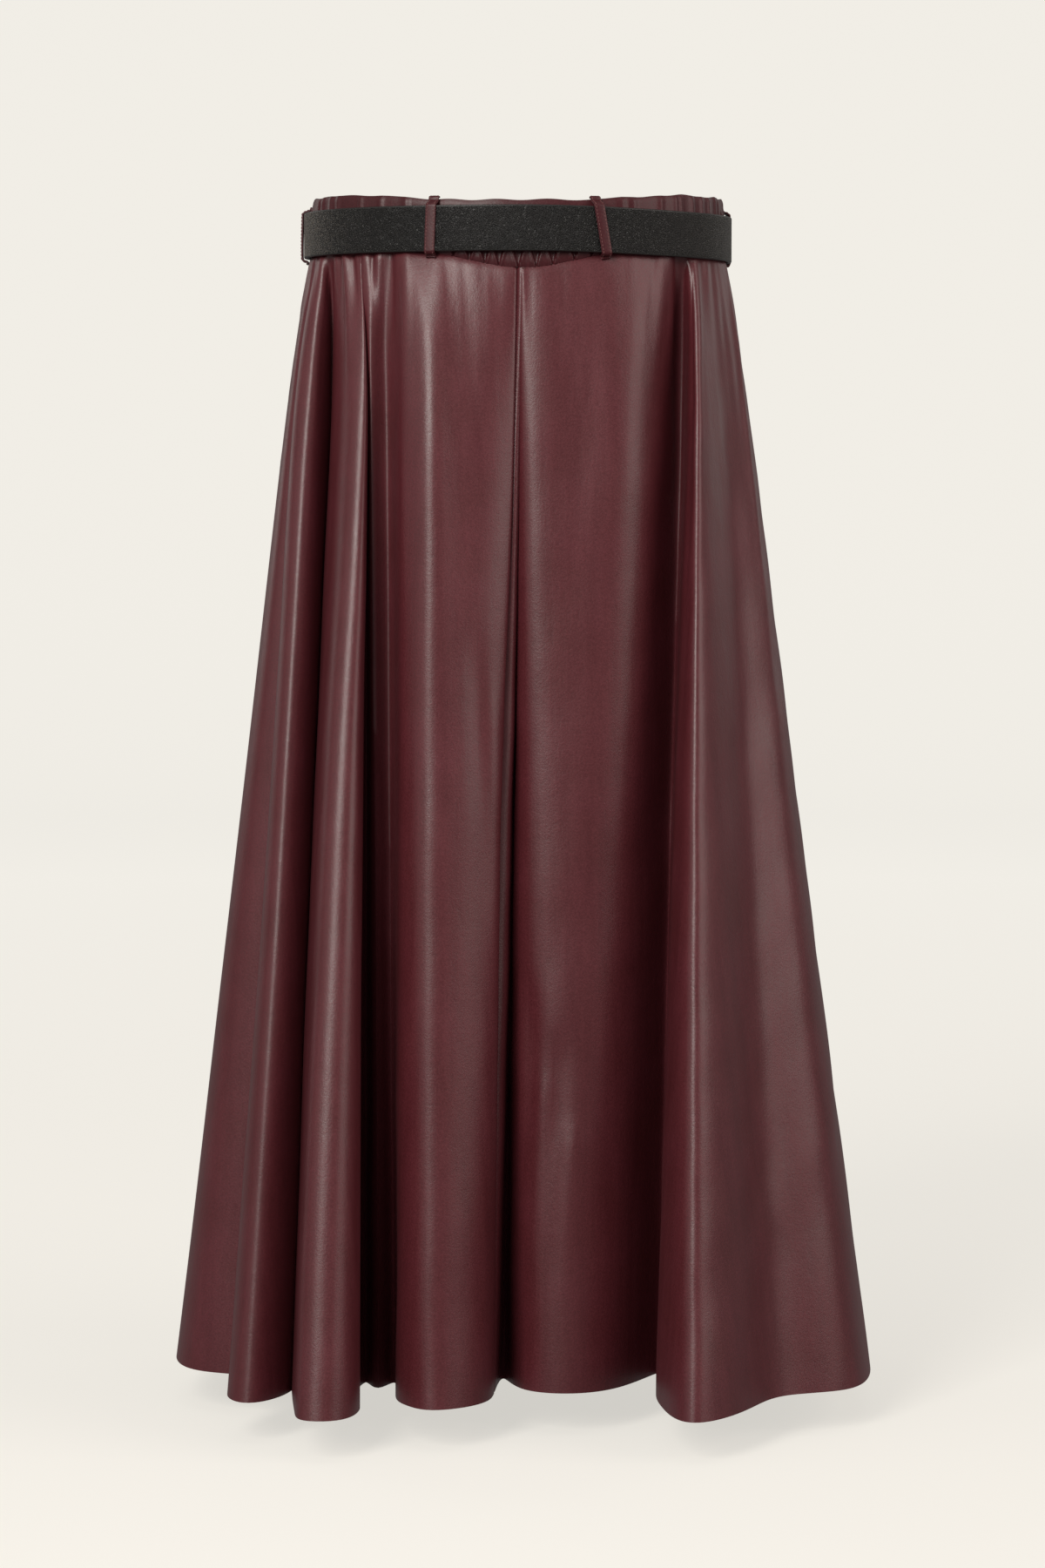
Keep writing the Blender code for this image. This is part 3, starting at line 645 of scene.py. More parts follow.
def gather_height(angle, share, arc):
    """How far the waistband's gathers stand out, and its hollows lie in, in metres.

    angle runs round from the left side, share up from the seam, and arc is metres a degree."""
    random = np.random.default_rng(5)
    rows = []
    for centre in HIGH_GATHERS:
        rows.append((centre, random.uniform(-0.8, 0.8), 0.45, 1.05, 0.9, HIGH_RIDGE_WIDTH))
    centre = 166.0
    while centre < 366.0:
        rows.append((centre, random.uniform(-1.2, 1.2), random.uniform(-0.1, 0.15),
                     random.uniform(0.8, 1.1), random.uniform(0.9, 1.7), PLAIN_RIDGE_WIDTH))
        centre += random.uniform(3.2, 5.2)
    height = np.zeros(angle.shape)
    for foot, lean, low, high, tall, width in rows:
        away = (angle - foot - lean * (share - low) + 180) % 360 - 180
        fade = smooth((share - low) / 0.18 + 0.3) * smooth((high - share) / 0.2 + 0.3)
        height = np.maximum(height, tall * MM * fade * np.exp(-(away * arc / width) ** 2))
    for centre in LOW_GATHERS:
        half_open = (HOLLOW_FOOT + HOLLOW_GROWTH * share) * arc
        away = np.abs(angle - centre) * arc - half_open
        fade = smooth((HOLLOW_TOP - share) / 0.15)
        height -= HOLLOW_DEPTH * fade * smooth((0.0002 - away) / 0.0012)
        height += LIP_HEIGHT * fade * np.exp(-((away - LIP_WIDTH) / LIP_WIDTH) ** 2)
    return height


def build_waistband(cloth, materials):
    """Cloth gathered over elastic, its top edge rolled and its foot meeting the skirt."""
    angle = np.linspace(0, 360, cloth.band_columns, endpoint=False)
    share = np.linspace(0, 1, cloth.band_rows)
    grid_angle, grid_share = np.meshgrid(angle, share, indexing="ij")
    turn = np.radians(grid_angle)
    half = [low + (high - low) * grid_share for low, high in zip(BAND_BOTTOM_HALF, BAND_TOP_HALF)]
    x = -half[0] * np.cos(turn)
    y = -half[1] * np.sin(turn)
    low = seam_height(x + WAIST_X, y)
    uneven = 0.0005 * cell_noise(31, turn * 0.12, 0 * turn, 0.035, 1.0)
    top = band_top_height(x) - 0.0004 + uneven
    z = low + (top - low) * grid_share
    middle = np.stack([x + WAIST_X, y, z], axis=-1)[:, ::-1]
    normal = grid_normals(middle, closed=True)
    arc = math.radians(1) * sum(BAND_BOTTOM_HALF) / 2
    puff = gather_height(grid_angle, grid_share, arc)[:, ::-1]
    edge = np.minimum(grid_share, 1 - grid_share)[:, ::-1] * (BAND_TOP_SIDE - SEAM_SIDE)
    roll = cloth.waist_roll * np.exp(-(edge / BAND_ROLL_REACH) ** 2)
    outer = middle + normal * (BAND_WALL / 2 + puff - 0.0006 - roll)[..., None]
    inner = middle - normal * (BAND_WALL / 2 - 0.4 * puff - roll)[..., None]
    band = wall("gathered_waistband", outer, inner, materials, closed=True)
    return band


# ---------------------------------------------------------------------------------------------
# Belt and loops
# ---------------------------------------------------------------------------------------------
SEWN_GAP = 0.0003
STRAP_WALL = 0.003
STRAP_WIDTH = 0.0315
STRAP_EDGE = 0.0009
STRAP_HALF = (0.1496, 0.1028)
STRAP_FRONT_DEPTH = 0.1095
STRAP_X = -0.0033
STRAP_STEPS = 480
STRAP_DROOP = 0.0030
LAYER = STRAP_WALL + SEWN_GAP
FOLD_X = 0.010
FOLD_RADIUS = 0.0034
FOLD_BACK = 0.022
CROSSING_X = -0.022
CROSSING_LENGTH = 0.022
TIP_X = 0.070
HOLE_RADIUS = 0.0023
HOLE_PITCH = 0.025
HOLES = 5
SLOT_HALF = (0.0055, 0.0050, 0.0022)
PRONG_HOLE_X = 0.0040
BAR_RADIUS = 0.0015
FRAME_HALF_HEIGHT = 0.0190
FRAME_LENGTH = 0.034
FRAME_CORNER = (0.0006, 0.0030)
PRONG_RADIUS = 0.0009
KEEPER_X = 0.041
KEEPER_WALL = 0.0014
KEEPER_WIDTH = 0.008
KEEPER_EDGE = 0.0005
LOOP_WIDTH = 0.0074
LOOP_WALL = 0.0012
LOOP_EDGE = 0.00045
LOOP_CROWN = 0.00025
STITCH_PITCH = 0.0024
STITCH_RADIUS = 0.00022
STITCH_SHARE = 0.78
STITCH_INSET = 0.0012
STITCH_PROUD = 0.00018

# Belt loops: name; where top and foot are sewn, in degrees from the left side; and the slack,
# how far the loop stands off the strap, in millimetres.
LOOPS = (
    ("belt_loop_back_left", 66.8, 66.3, 0.0),
    ("belt_loop_back_right", 111.6, 114.3, 0.0),
    ("belt_loop_left_side", -3.0, -1.0, 0.5),
    ("belt_loop_right_side", 190.0, 190.0, 0.3),
    ("belt_loop_front_left", 305.5, 305.5, 0.0),
    ("belt_loop_front_right", 232.0, 232.0, 0.0),
)


def strap_ring(angle):
    """Point and outward direction of the strap's ring, by angle from the front to the right."""
    front = math.cos(angle)
    deepening = float(smooth(front)) if front > 0 else 0.0
    depth = STRAP_HALF[1] + (STRAP_FRONT_DEPTH - STRAP_HALF[1]) * deepening
    point = np.array([STRAP_X + STRAP_HALF[0] * math.sin(angle), depth * front])
    out = np.array([depth * math.sin(angle), STRAP_HALF[0] * front])
    return point, out / np.linalg.norm(out)


def ring_angle(x):
    """The strap ring's angle in front of the wearer at x."""
    return math.asin((x - STRAP_X) / STRAP_HALF[0])


def rise(angle):
    """How far the strap has risen over its first layer, on its way past the centre front."""
    travelled = (angle - 2 * math.pi - ring_angle(CROSSING_X)) * STRAP_HALF[0]
    return LAYER * float(smooth(travelled / CROSSING_LENGTH))


def bar_centre():
    """Plan of the middle of the buckle's bar, inside the strap's fold."""
    point, out = strap_ring(ring_angle(FOLD_X))
    return point - out * FOLD_RADIUS


def strap_path():
    """Plan of the strap's middle: turned-back end, fold, once round the waist, free end."""
    path = []
    for share in np.linspace(1, 0, 20):
        point, out = strap_ring(ring_angle(FOLD_X + FOLD_BACK * share))
        apart = 2 * FOLD_RADIUS + (LAYER - 2 * FOLD_RADIUS) * float(smooth(1.6 * share))
        path.append(point - out * apart)
    bar = bar_centre()
    for turn in np.linspace(math.pi / 12, math.pi * 11 / 12, 15):
        path.append(bar - FOLD_RADIUS * np.array([math.sin(turn), math.cos(turn)]))
    start, end = ring_angle(FOLD_X), 2 * math.pi + ring_angle(TIP_X)
    for angle in np.linspace(start, end, STRAP_STEPS):
        point, out = strap_ring(angle)
        path.append(point + out * rise(angle))
    return np.array(path)


def strap_height(x):
    """The strap's centre line droops a little on the right side."""
    return -STRAP_DROOP * smooth(x / STRAP_HALF[0])


def strap_section(width, wall_thickness, edge, crown=0.0, flats=9):
    """Half sections of a strap, face and back: across it, out of it, and how far each point
    leans to the edge (for the paint)."""
    half = width / 2
    turns = np.linspace(math.pi / 2, 0, 5)
    side = [(half - edge + edge * math.cos(a), wall_thickness / 2 - edge + edge * math.sin(a))
            for a in turns]
    face = [(half - edge) * s for s in np.linspace(-1, 1, flats)][1:-1]
    top = [(w, wall_thickness / 2 + crown * (1 - (w / half) ** 2)) for w in face]
    left = [(-w, h) for w, h in side[::-1]]
    upper = left + top + side
    lower = [(w, -h) for w, h in upper[::-1]]
    return upper, lower


def sweep_strap(name, middle, normal, across, upper, lower, materials, edge_points, closed=False):
    """Sweeps a strap's section along middle; the points near its edges take the edge paint."""
    section = upper + lower
    rings = np.stack([middle + normal * h + across * w for w, h in section], axis=1)
    count, around = rings.shape[:2]
    index = np.arange(count * around).reshape(count, around)
    faces = []
    slots = []
    last = count if closed else count - 1
    for i in range(last):
        j = (i + 1) % count
        for k in range(around):
            m = (k + 1) % around
            faces.append((index[i, k], index[j, k], index[j, m], index[i, m]))
            near_edge = k < edge_points or k >= around - edge_points - 1
            mid_edge = abs(k + 0.5 - len(upper) + 0.5) <= edge_points
            slots.append(1 if near_edge or mid_edge else 0)
    if not closed:
        faces.append(tuple(index[0][::-1]))
        faces.append(tuple(index[-1]))
        slots += [1, 1]
    faces = [tuple(int(v) for v in face) for face in faces]
    made = link_mesh(name, rings, faces, slots, materials)
    body = bmesh.new()
    body.from_mesh(made.data)
    bmesh.ops.recalc_face_normals(body, faces=body.faces)
    body.to_mesh(made.data)
    body.free()
    return made


def cut_out(piece, build):
    """Takes the shape that build adds to a bmesh out of the piece."""
    mesh = bpy.data.meshes.new("cutter")
    body = bmesh.new()
    build(body)
    body.to_mesh(mesh)
    body.free()
    cutter = bpy.data.objects.new("cutter", mesh)
    bpy.context.scene.collection.objects.link(cutter)
    cut = piece.modifiers.new("cut", "BOOLEAN")
    cut.operation = "DIFFERENCE"
    cut.solver = "EXACT"
    cut.object = cutter
    graph = bpy.context.evaluated_depsgraph_get()
    result = bpy.data.meshes.new_from_object(piece.evaluated_get(graph))
    piece.modifiers.clear()
    piece.data = result
    bpy.data.objects.remove(cutter)


def prong_slot(body):
    """The slot in the strap's fold that the prong passes through."""
    bar = bar_centre()
    place = Matrix.Translation((bar[0], bar[1], 0)) @ Matrix.Diagonal((*SLOT_HALF, 1))
    bmesh.ops.create_cube(body, size=2, matrix=place)


def strap_holes(body):
    """The row of holes in the strap's free end."""
    for number in range(HOLES):
        x = PRONG_HOLE_X - HOLE_PITCH * (number - HOLES // 2)
        angle = 2 * math.pi + ring_angle(x)
        point, out = strap_ring(angle)
        centre = point + out * rise(angle)
        turn = Vector((out[0], out[1], 0)).to_track_quat("Z", "Y").to_matrix().to_4x4()
        place = Matrix.Translation((*centre, float(strap_height(x)))) @ turn
        bmesh.ops.create_cone(body, cap_ends=True, segments=28, radius1=HOLE_RADIUS,
                              radius2=HOLE_RADIUS, depth=LAYER, matrix=place)


def build_belt(materials):
    """The strap in one piece, with its slot and holes."""
    path = strap_path()
    along = np.gradient(path, axis=0)
    along /= np.linalg.norm(along, axis=1, keepdims=True)
    middle = np.column_stack([path, strap_height(path[:, 0])])
    flat = np.zeros(len(path))
    normal = np.column_stack([-along[:, 1], along[:, 0], flat])
    across = np.column_stack([flat, flat, flat + 1])
    upper, lower = strap_section(STRAP_WIDTH, STRAP_WALL, STRAP_EDGE)
    belt = sweep_strap("pebbled_belt", middle, normal, across, upper, lower, materials,
                       edge_points=4)
    cut_out(belt, prong_slot)
    cut_out(belt, strap_holes)
    return belt


def build_keeper(materials):
    """A closed loop of strap round both layers, with rounded corners."""
    point, out = strap_ring(ring_angle(KEEPER_X))
    across = np.array([out[1], -out[0], 0.0])
    near = STRAP_WALL / 2 + SEWN_GAP + KEEPER_WALL / 2
    high = STRAP_WIDTH / 2 + SEWN_GAP + KEEPER_WALL / 2
    corner = KEEPER_WALL
    lift = float(strap_height(KEEPER_X))
    middle, normal = [], []
    corners = ((near + LAYER, high, 1, 1), (near + LAYER, -high, 1, -1),
               (-near, -high, -1, -1), (-near, high, -1, 1))
    for away, height, side, up in corners:
        for turn in np.linspace(0, math.pi / 2, 6):
            a = math.pi / 2 - turn if side * up > 0 else turn
            c, s = math.cos(a), math.sin(a)
            plan = point + out * (away + side * corner * (c - 1))
            middle.append((*plan, lift + height + up * corner * (s - 1)))
            normal.append((*(out * side * c), up * s))
    upper, lower = strap_section(KEEPER_WIDTH, KEEPER_WALL, KEEPER_EDGE)
    return sweep_strap("strap_keeper", np.array(middle), np.array(normal), across, upper, lower,
                       materials, edge_points=4, closed=True)


def front_face(x, beyond):
    """Point in front of the free end's outer face at x."""
    angle = 2 * math.pi + ring_angle(x)
    point, out = strap_ring(angle)
    return point + out * (rise(angle) + STRAP_WALL / 2 + beyond)


def rod(name, path, radius, surface, closed=False):
    """A round rod along a smoothed path, as a bevelled curve turned to a mesh."""
    curve = bpy.data.curves.new(name, "CURVE")
    curve.dimensions = "3D"
    curve.bevel_depth = radius
    curve.bevel_resolution = 5
    curve.use_fill_caps = True
    line = curve.splines.new("NURBS")
    line.points.add(len(path) - 1)
    for spot, place in zip(line.points, path):
        spot.co = (*place, 1)
    line.order_u = 3
    line.resolution_u = 8
    line.use_cyclic_u = closed
    line.use_endpoint_u = not closed
    holder = bpy.data.objects.new(name, curve)
    bpy.context.scene.collection.objects.link(holder)
    graph = bpy.context.evaluated_depsgraph_get()
    mesh = bpy.data.meshes.new_from_object(holder.evaluated_get(graph))
    bpy.data.objects.remove(holder)
    mesh.materials.clear()
    mesh.materials.append(surface)
    mesh.shade_smooth()
    made = bpy.data.objects.new(name, mesh)
    bpy.context.scene.collection.objects.link(made)
    return made


def build_buckle(surface):
    """A plain frame whose bar lies in the strap's fold, and a prong hooked on the bar that
    reaches over the frame's far side."""
    bar = bar_centre()
    far = front_face(FOLD_X - FRAME_LENGTH, SEWN_GAP + BAR_RADIUS)
    corners = [(bar, FRAME_HALF_HEIGHT), (far, FRAME_HALF_HEIGHT),
               (far, -FRAME_HALF_HEIGHT), (bar, -FRAME_HALF_HEIGHT)]
    path = []
    for i, (plan, height) in enumerate(corners):
        here = np.array([*plan, height])
        for other in (corners[i - 1], corners[(i + 1) % 4]):
            there = np.array([*other[0], other[1]])
            way = (there - here) / np.linalg.norm(there - here)
            near, off = [here + way * apart for apart in FRAME_CORNER]
            path += [off, near] if other is corners[i - 1] else [near, off]
    buckle = rod("plated_buckle_frame", path, BAR_RADIUS, surface, closed=True)
    hook = BAR_RADIUS + SEWN_GAP + PRONG_RADIUS
    path = [bar + hook * np.array([math.cos(a), math.sin(a)])
            for a in np.radians(np.linspace(60, -150, 13))]
    lift = SEWN_GAP + PRONG_RADIUS
    path.append(front_face(PRONG_HOLE_X - 0.001, lift + 0.0004))
    path.append(front_face(PRONG_HOLE_X - 0.004, lift + 0.0012))
    over = far + np.array([0, BAR_RADIUS + SEWN_GAP + PRONG_RADIUS])
    path.append(over + np.array([0.003, 0.0002]))
    path.append(over - np.array([0.0025, 0]))
    prong = rod("plated_buckle_prong", [(x, y, 0.0) for x, y in path], PRONG_RADIUS, surface)
    return buckle, prong


def band_middle(degrees, height):
    """Middle of the waistband's wall, that far round from the left side, and its way out."""
    up = np.clip((height - SEAM_SIDE) / (BAND_TOP_BACK - SEAM_SIDE), 0, 1)
    half = np.array(BAND_BOTTOM_HALF) * (1 - up) + np.array(BAND_TOP_HALF) * up
    turn = math.radians(degrees)
    local = -half * np.array([math.cos(turn), math.sin(turn)])
    out = local / half ** 2
    return local + np.array([WAIST_X, 0]), out / np.linalg.norm(out)


def distance_to_strap(point, out):
    """How far from point, along out, the middle of the strap's ring lies."""
    depth = STRAP_HALF[1]
    if point[1] > 0:
        angle = ring_angle(point[0])
        depth = strap_ring(angle)[0][1] / math.cos(angle)
    scale = np.array([STRAP_HALF[0], depth])
    start = (point - np.array([STRAP_X, 0])) / scale
    way = out / scale
    a, b, c = way @ way, start @ way, start @ start - 1
    return (-b + math.sqrt(b * b - a * c)) / a


def rounded(path, rounds=3):
    """Cuts a path's corners, and keeps its ends."""
    path = np.array(path, float)
    for _ in range(rounds):
        near = path[:-1] * 0.75 + path[1:] * 0.25
        far = path[:-1] * 0.25 + path[1:] * 0.75
        path = np.vstack([path[:1], np.stack([near, far], axis=1).reshape(-1, 3), path[-1:]])
    return path


def loop_path(top_at, foot_at, slack):
    """Middle of a loop's wall: from inside the waistband over its top, down and in to the seam.
    A loop with slack, at a side, starts on the band's outside just above the belt."""
    lift = SEWN_GAP + LOOP_WALL / 2
    near = BAND_WALL / 2 + lift
    plan = band_middle(top_at, SEAM_SIDE)[0]
    top = float(band_top_height(plan[0] - WAIST_X)) + lift
    strap_edge = STRAP_WIDTH / 2 + lift
    foot_x, foot_y = band_middle(foot_at, SEAM_SIDE)[0]
    droop = float(strap_height(foot_x))
    foot = min(float(seam_height(foot_x, foot_y)), droop - strap_edge) - 2.5 * LOOP_WALL
    stations = (("over", top - 0.0006), ("over", top), ("near", top),
                ("near", strap_edge + LOOP_WALL * 1.5), ("far", strap_edge),
                ("far", strap_edge * 0.8), ("slack", 0.0), ("slack", droop - strap_edge * 0.8),
                ("far", droop - strap_edge - 0.7 * slack), ("near", droop - strap_edge - LOOP_WALL),
                ("foot", foot))
    if slack > 0:
        top = strap_edge + 3 * LOOP_WALL
        stations = (("near", top),) + stations[3:]
    path = []
    for place, height in stations:
        share = (top - height) / (top - foot)
        point, out = band_middle(top_at + (foot_at - top_at) * share, height)
        away = {"over": 0.0, "near": near, "foot": near + 0.7 * MM}.get(place)
        if away is None:
            away = distance_to_strap(point, out) + STRAP_WALL / 2 + lift
            away += slack if place == "slack" else 0.5 * slack
        path.append((*(point + out * away), height))
    return rounded(path), np.array([-out[1], out[0], 0.0])


def build_loop(name, top_at, foot_at, slack, materials, thread):
    """An edge-stitched belt loop, slightly domed across, and its two rows of stitches."""
    middle, across = loop_path(top_at, foot_at, slack * MM)
    along = np.gradient(middle, axis=0)
    along /= np.linalg.norm(along, axis=1, keepdims=True)
    across = across - along * (along @ across)[:, None]
    across /= np.linalg.norm(across, axis=1, keepdims=True)
    normal = np.cross(along, across)
    upper, lower = strap_section(LOOP_WIDTH, LOOP_WALL, LOOP_EDGE, crown=LOOP_CROWN)
    loop = sweep_strap(name + "_cloth", middle, normal, across, upper, lower, materials,
                       edge_points=0)
    stitches = build_stitches(name + "_stitches", middle, normal, across,
                              (LOOP_WIDTH / 2 - STITCH_INSET, -LOOP_WIDTH / 2 + STITCH_INSET),
                              LOOP_WALL / 2 + STITCH_PROUD, thread)
    return loop, stitches


def build_stitches(name, middle, normal, across, offsets, proud, thread):
    """Rows of short thread stitches along middle, each sunk at its ends, as one joined mesh."""
    length = np.concatenate([[0], np.cumsum(np.linalg.norm(np.diff(middle, axis=0), axis=1))])
    points, faces = [], []
    sides = 6
    profile = ((-0.5, 0.35, -1.0), (-0.36, 0.9, 0.0), (0.0, 1.0, 0.35), (0.36, 0.9, 0.0),
               (0.5, 0.35, -1.0))
    count = int(length[-1] / STITCH_PITCH)
    for offset in offsets:
        for number in range(count):
            centre = (number + 0.5) * STITCH_PITCH
            rings = []
            for share, fat, sunk in profile:
                s = np.clip(centre + share * STITCH_PITCH * STITCH_SHARE, 0, length[-1])
                place = [np.array([np.interp(s, length, grid[:, k]) for k in range(3)])
                         for grid in (middle, normal, across)]
                base = place[0] + place[1] * (proud + sunk * STITCH_RADIUS) + place[2] * offset
                ring = []
                for k in range(sides):
                    a = 2 * math.pi * k / sides
                    spoke = place[1] * math.cos(a) + place[2] * math.sin(a)
                    ring.append(len(points))
                    points.append(base + spoke * STITCH_RADIUS * fat)
                rings.append(ring)
            for one, two in zip(rings, rings[1:]):
                for k in range(sides):
                    m = (k + 1) % sides
                    faces.append((one[k], one[m], two[m], two[k]))
            faces.append(tuple(rings[0][::-1]))
            faces.append(tuple(rings[-1]))
    return link_mesh(name, np.array(points), faces, [0] * len(faces), [thread])


# ---------------------------------------------------------------------------------------------
# Settings, operators and panel
# ---------------------------------------------------------------------------------------------
class SkirtClothSettings(bpy.types.PropertyGroup):
    wall: bpy.props.FloatProperty(
        name="Cloth wall", description="Thickness of the coated cloth",
        default=0.0011, min=0.0005, max=0.003, subtype="DISTANCE", unit="LENGTH")
    column_spacing: bpy.props.FloatProperty(
        name="Column spacing", description="Mesh spacing round the hem",
        default=0.0045, min=0.001, max=0.02, subtype="DISTANCE", unit="LENGTH")
    rows: bpy.props.IntProperty(
        name="Rows", description="Mesh rows from the waist to the hem", default=130, min=20)
    band_columns: bpy.props.IntProperty(
        name="Waistband columns", description="Mesh columns round the waist", default=1500, min=200)
    band_rows: bpy.props.IntProperty(
        name="Waistband rows", description="Mesh rows up the waistband", default=26, min=6)
    gather_depth: bpy.props.FloatProperty(
        name="Gather depth", description="Depth of the ripples below the waist seam",
        default=0.0007, min=0.0, max=0.004, subtype="DISTANCE", unit="LENGTH")
    unevenness: bpy.props.FloatProperty(
        name="Unevenness", description="Soft waviness all over the cloth",
        default=0.00025, min=0.0, max=0.004, subtype="DISTANCE", unit="LENGTH")
    seam_roll: bpy.props.FloatProperty(
        name="Seam roll", description="How far the cloth turns in at a seam",
        default=0.0022, min=0.0, max=0.006, subtype="DISTANCE", unit="LENGTH")
    waist_roll: bpy.props.FloatProperty(
        name="Waist roll", description="How far the panels turn in at the waist seam",
        default=0.0008, min=0.0, max=0.004, subtype="DISTANCE", unit="LENGTH")
    seam_width: bpy.props.FloatProperty(
        name="Seam width", description="Width over which the cloth turns in at a seam",
        default=0.0011, min=0.0005, max=0.01, subtype="DISTANCE", unit="LENGTH")
    tuck_depth: bpy.props.FloatProperty(
        name="Tuck depth", description="Depth of the tuck down the centre back seam",
        default=0.009, min=0.0, max=0.03, subtype="DISTANCE", unit="LENGTH")
    tuck_width: bpy.props.FloatProperty(
        name="Tuck width", description="How much wider than the seam's groove the tuck is",
        default=0.0035, min=0.0005, max=0.02, subtype="DISTANCE", unit="LENGTH")


class SkirtColorSettings(bpy.types.PropertyGroup):
    cloth_dark: bpy.props.StringProperty(
        name="Cloth, dark", description="sRGB hex of the burgundy's darker patches",
        default="#4c1b1e")
    cloth_light: bpy.props.StringProperty(
        name="Cloth, light", description="sRGB hex of the burgundy's lighter patches",
        default="#5c262e")
    # The strap's two tones: darker between the pebbles, as painted shade, and lighter on them, as a
    # painted highlight.
    strap_dark: bpy.props.StringProperty(
        name="Strap, dark", description="sRGB hex between the belt's pebbles", default="#020202")
    strap_light: bpy.props.StringProperty(
        name="Strap, light", description="sRGB hex on the belt's pebbles", default="#0d0c0b")
    paper: bpy.props.StringProperty(
        name="Paper", description="sRGB hex of the background paper", default="#f0ede6")


class SkirtStageSettings(bpy.types.PropertyGroup):
    camera_distance: bpy.props.FloatProperty(
        name="Camera distance", description="From the waist's centre to the camera",
        default=3.0, min=1.0, max=10.0, subtype="DISTANCE", unit="LENGTH")
    camera_above_hem: bpy.props.FloatProperty(
        name="Camera height", description="Height of the camera above the hem",
        default=0.62, min=0.0, max=2.0, subtype="DISTANCE", unit="LENGTH")
    camera_tilt: bpy.props.FloatProperty(
        name="Camera tilt", description="How far the camera looks down",
        default=math.radians(4.02), subtype="ANGLE", unit="ROTATION")
    lens: bpy.props.FloatProperty(
        name="Lens", description="Focal length", default=96.8, min=20.0, unit="CAMERA")
    floor_drop: bpy.props.FloatProperty(
        name="Floor drop", description="Gap between the hem and the floor",
        default=0.03, min=0.0, max=0.5, subtype="DISTANCE", unit="LENGTH")


def material_named(name):
    """The material of that name, made when it is first asked for."""
    colors = bpy.context.scene.skirt_colors
    makers = {
        LEATHER: lambda: faux_leather(colors),
        # The darker copy of the cloth, as painted shade.
        PAINTED_SHADE_LEATHER: lambda: faux_leather(colors, PAINTED_SHADE_LEATHER, PAINTED_SHADE_DEPTH),
        BACKING: knit_backing,
        STRAP_LEATHER: lambda: pebbled_leather(colors),
        EDGE_PAINT: edge_paint,
        THREAD: sewing_thread,
        GUNMETAL: gunmetal,
        PAPER: lambda: seamless_paper(colors),
    }
    return bpy.data.materials.get(name) or makers[name]()


def settle(piece, slot, *nodes):
    """Hands a finished piece to the frame."""
    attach(piece, "root")
    if nodes:
        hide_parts(*nodes)


class SKIRT_OT_panels(bpy.types.Operator):
    """Build the three flared panels with their folds and creases"""
    bl_idname = "skirt.panels"
    bl_label = "Skirt panels"

    def execute(self, context):
        leather = material_named(LEATHER)
        backing = material_named(BACKING)
        for name, first, last in PANELS:
            panel = build_panel(name + "_cloth", first, last, context.scene.skirt_cloth,
                                (leather, backing, leather))
            settle(panel, "skirt_cloth", name)
        return {"FINISHED"}


class SKIRT_OT_waistband(bpy.types.Operator):
    """Build the gathered elastic waistband"""
    bl_idname = "skirt.waistband"
    bl_label = "Waistband"

    def execute(self, context):
        # The waistband takes the darker copy of the cloth: painted shade.
        leather = material_named(PAINTED_SHADE_LEATHER)
        band = build_waistband(context.scene.skirt_cloth, (leather, leather, leather))
        settle(band, "skirt_cloth", "waistband")
        return {"FINISHED"}


class SKIRT_OT_belt_loops(bpy.types.Operator):
    """Build the six belt loops and their stitches"""
    bl_idname = "skirt.belt_loops"
    bl_label = "Belt loops"

    def execute(self, context):
        # The loops take the darker copy of the cloth: painted shade.
        leather = material_named(PAINTED_SHADE_LEATHER)
        thread = material_named(THREAD)
        for name, top_at, foot_at, slack in LOOPS:
            loop, stitches = build_loop(name, top_at, foot_at, slack, (leather, leather), thread)
            settle(loop, "skirt_cloth", name)
            settle(stitches, "skirt_cloth")
        return {"FINISHED"}


class SKIRT_OT_belt(bpy.types.Operator):
    """Build the strap and its keeper"""
    bl_idname = "skirt.belt"
    bl_label = "Belt and keeper"

    def execute(self, context):
        materials = (material_named(STRAP_LEATHER), material_named(EDGE_PAINT))
        settle(build_belt(materials), "belt_strap", "belt")
        settle(build_keeper(materials), "belt_strap", "belt_keeper")
        return {"FINISHED"}


class SKIRT_OT_buckle(bpy.types.Operator):
    """Build the buckle's frame and prong"""
    bl_idname = "skirt.buckle"
    bl_label = "Buckle"

    def execute(self, context):
        buckle, prong = build_buckle(material_named(GUNMETAL))
        settle(buckle, "buckle_metal", "buckle_frame")
        settle(prong, "buckle_metal", "buckle_prong")
        return {"FINISHED"}


# Softboxes: name, place, size, power in watts and colour.
SOFTBOXES = (
    ("key_softbox", (-1.3, -2.8, 1.25), (1.15, 1.8), 92, "#fffaf4"),
    ("right_softbox", (3.0, -1.5, 1.0), (2.6, 2.4), 54, "#fff3ec"),
    ("left_softbox", (-3.0, -1.2, 0.8), (2.6, 2.6), 10, "#fffaf4"),
    ("far_left_softbox", (-2.6, 2.4, 0.9), (1.6, 2.2), 11, "#fffaf4"),
    ("far_right_softbox", (2.6, 2.4, 0.9), (1.6, 2.2), 8, "#fffaf4"),
    ("overhead", (0.0, -0.9, 2.6), (3.0, 1.6), 12, "#fffdfa"),
)
AIR_COLOR = "#f6f4f0"
AIR_STRENGTH = 0.20


def softbox(name, place, target, size, power, color):
    """A rectangular soft light aimed at target."""
    lamp = bpy.data.lights.new(name, "AREA")
    lamp.shape = "RECTANGLE"
    lamp.size, lamp.size_y = size
    lamp.energy = power
    lamp.color = linear(color)[:3]
    made = bpy.data.objects.new(name, lamp)
    made.location = place
    made.rotation_euler = (Vector(target) - Vector(place)).to_track_quat("-Z", "Y").to_euler()
    bpy.context.scene.collection.objects.link(made)


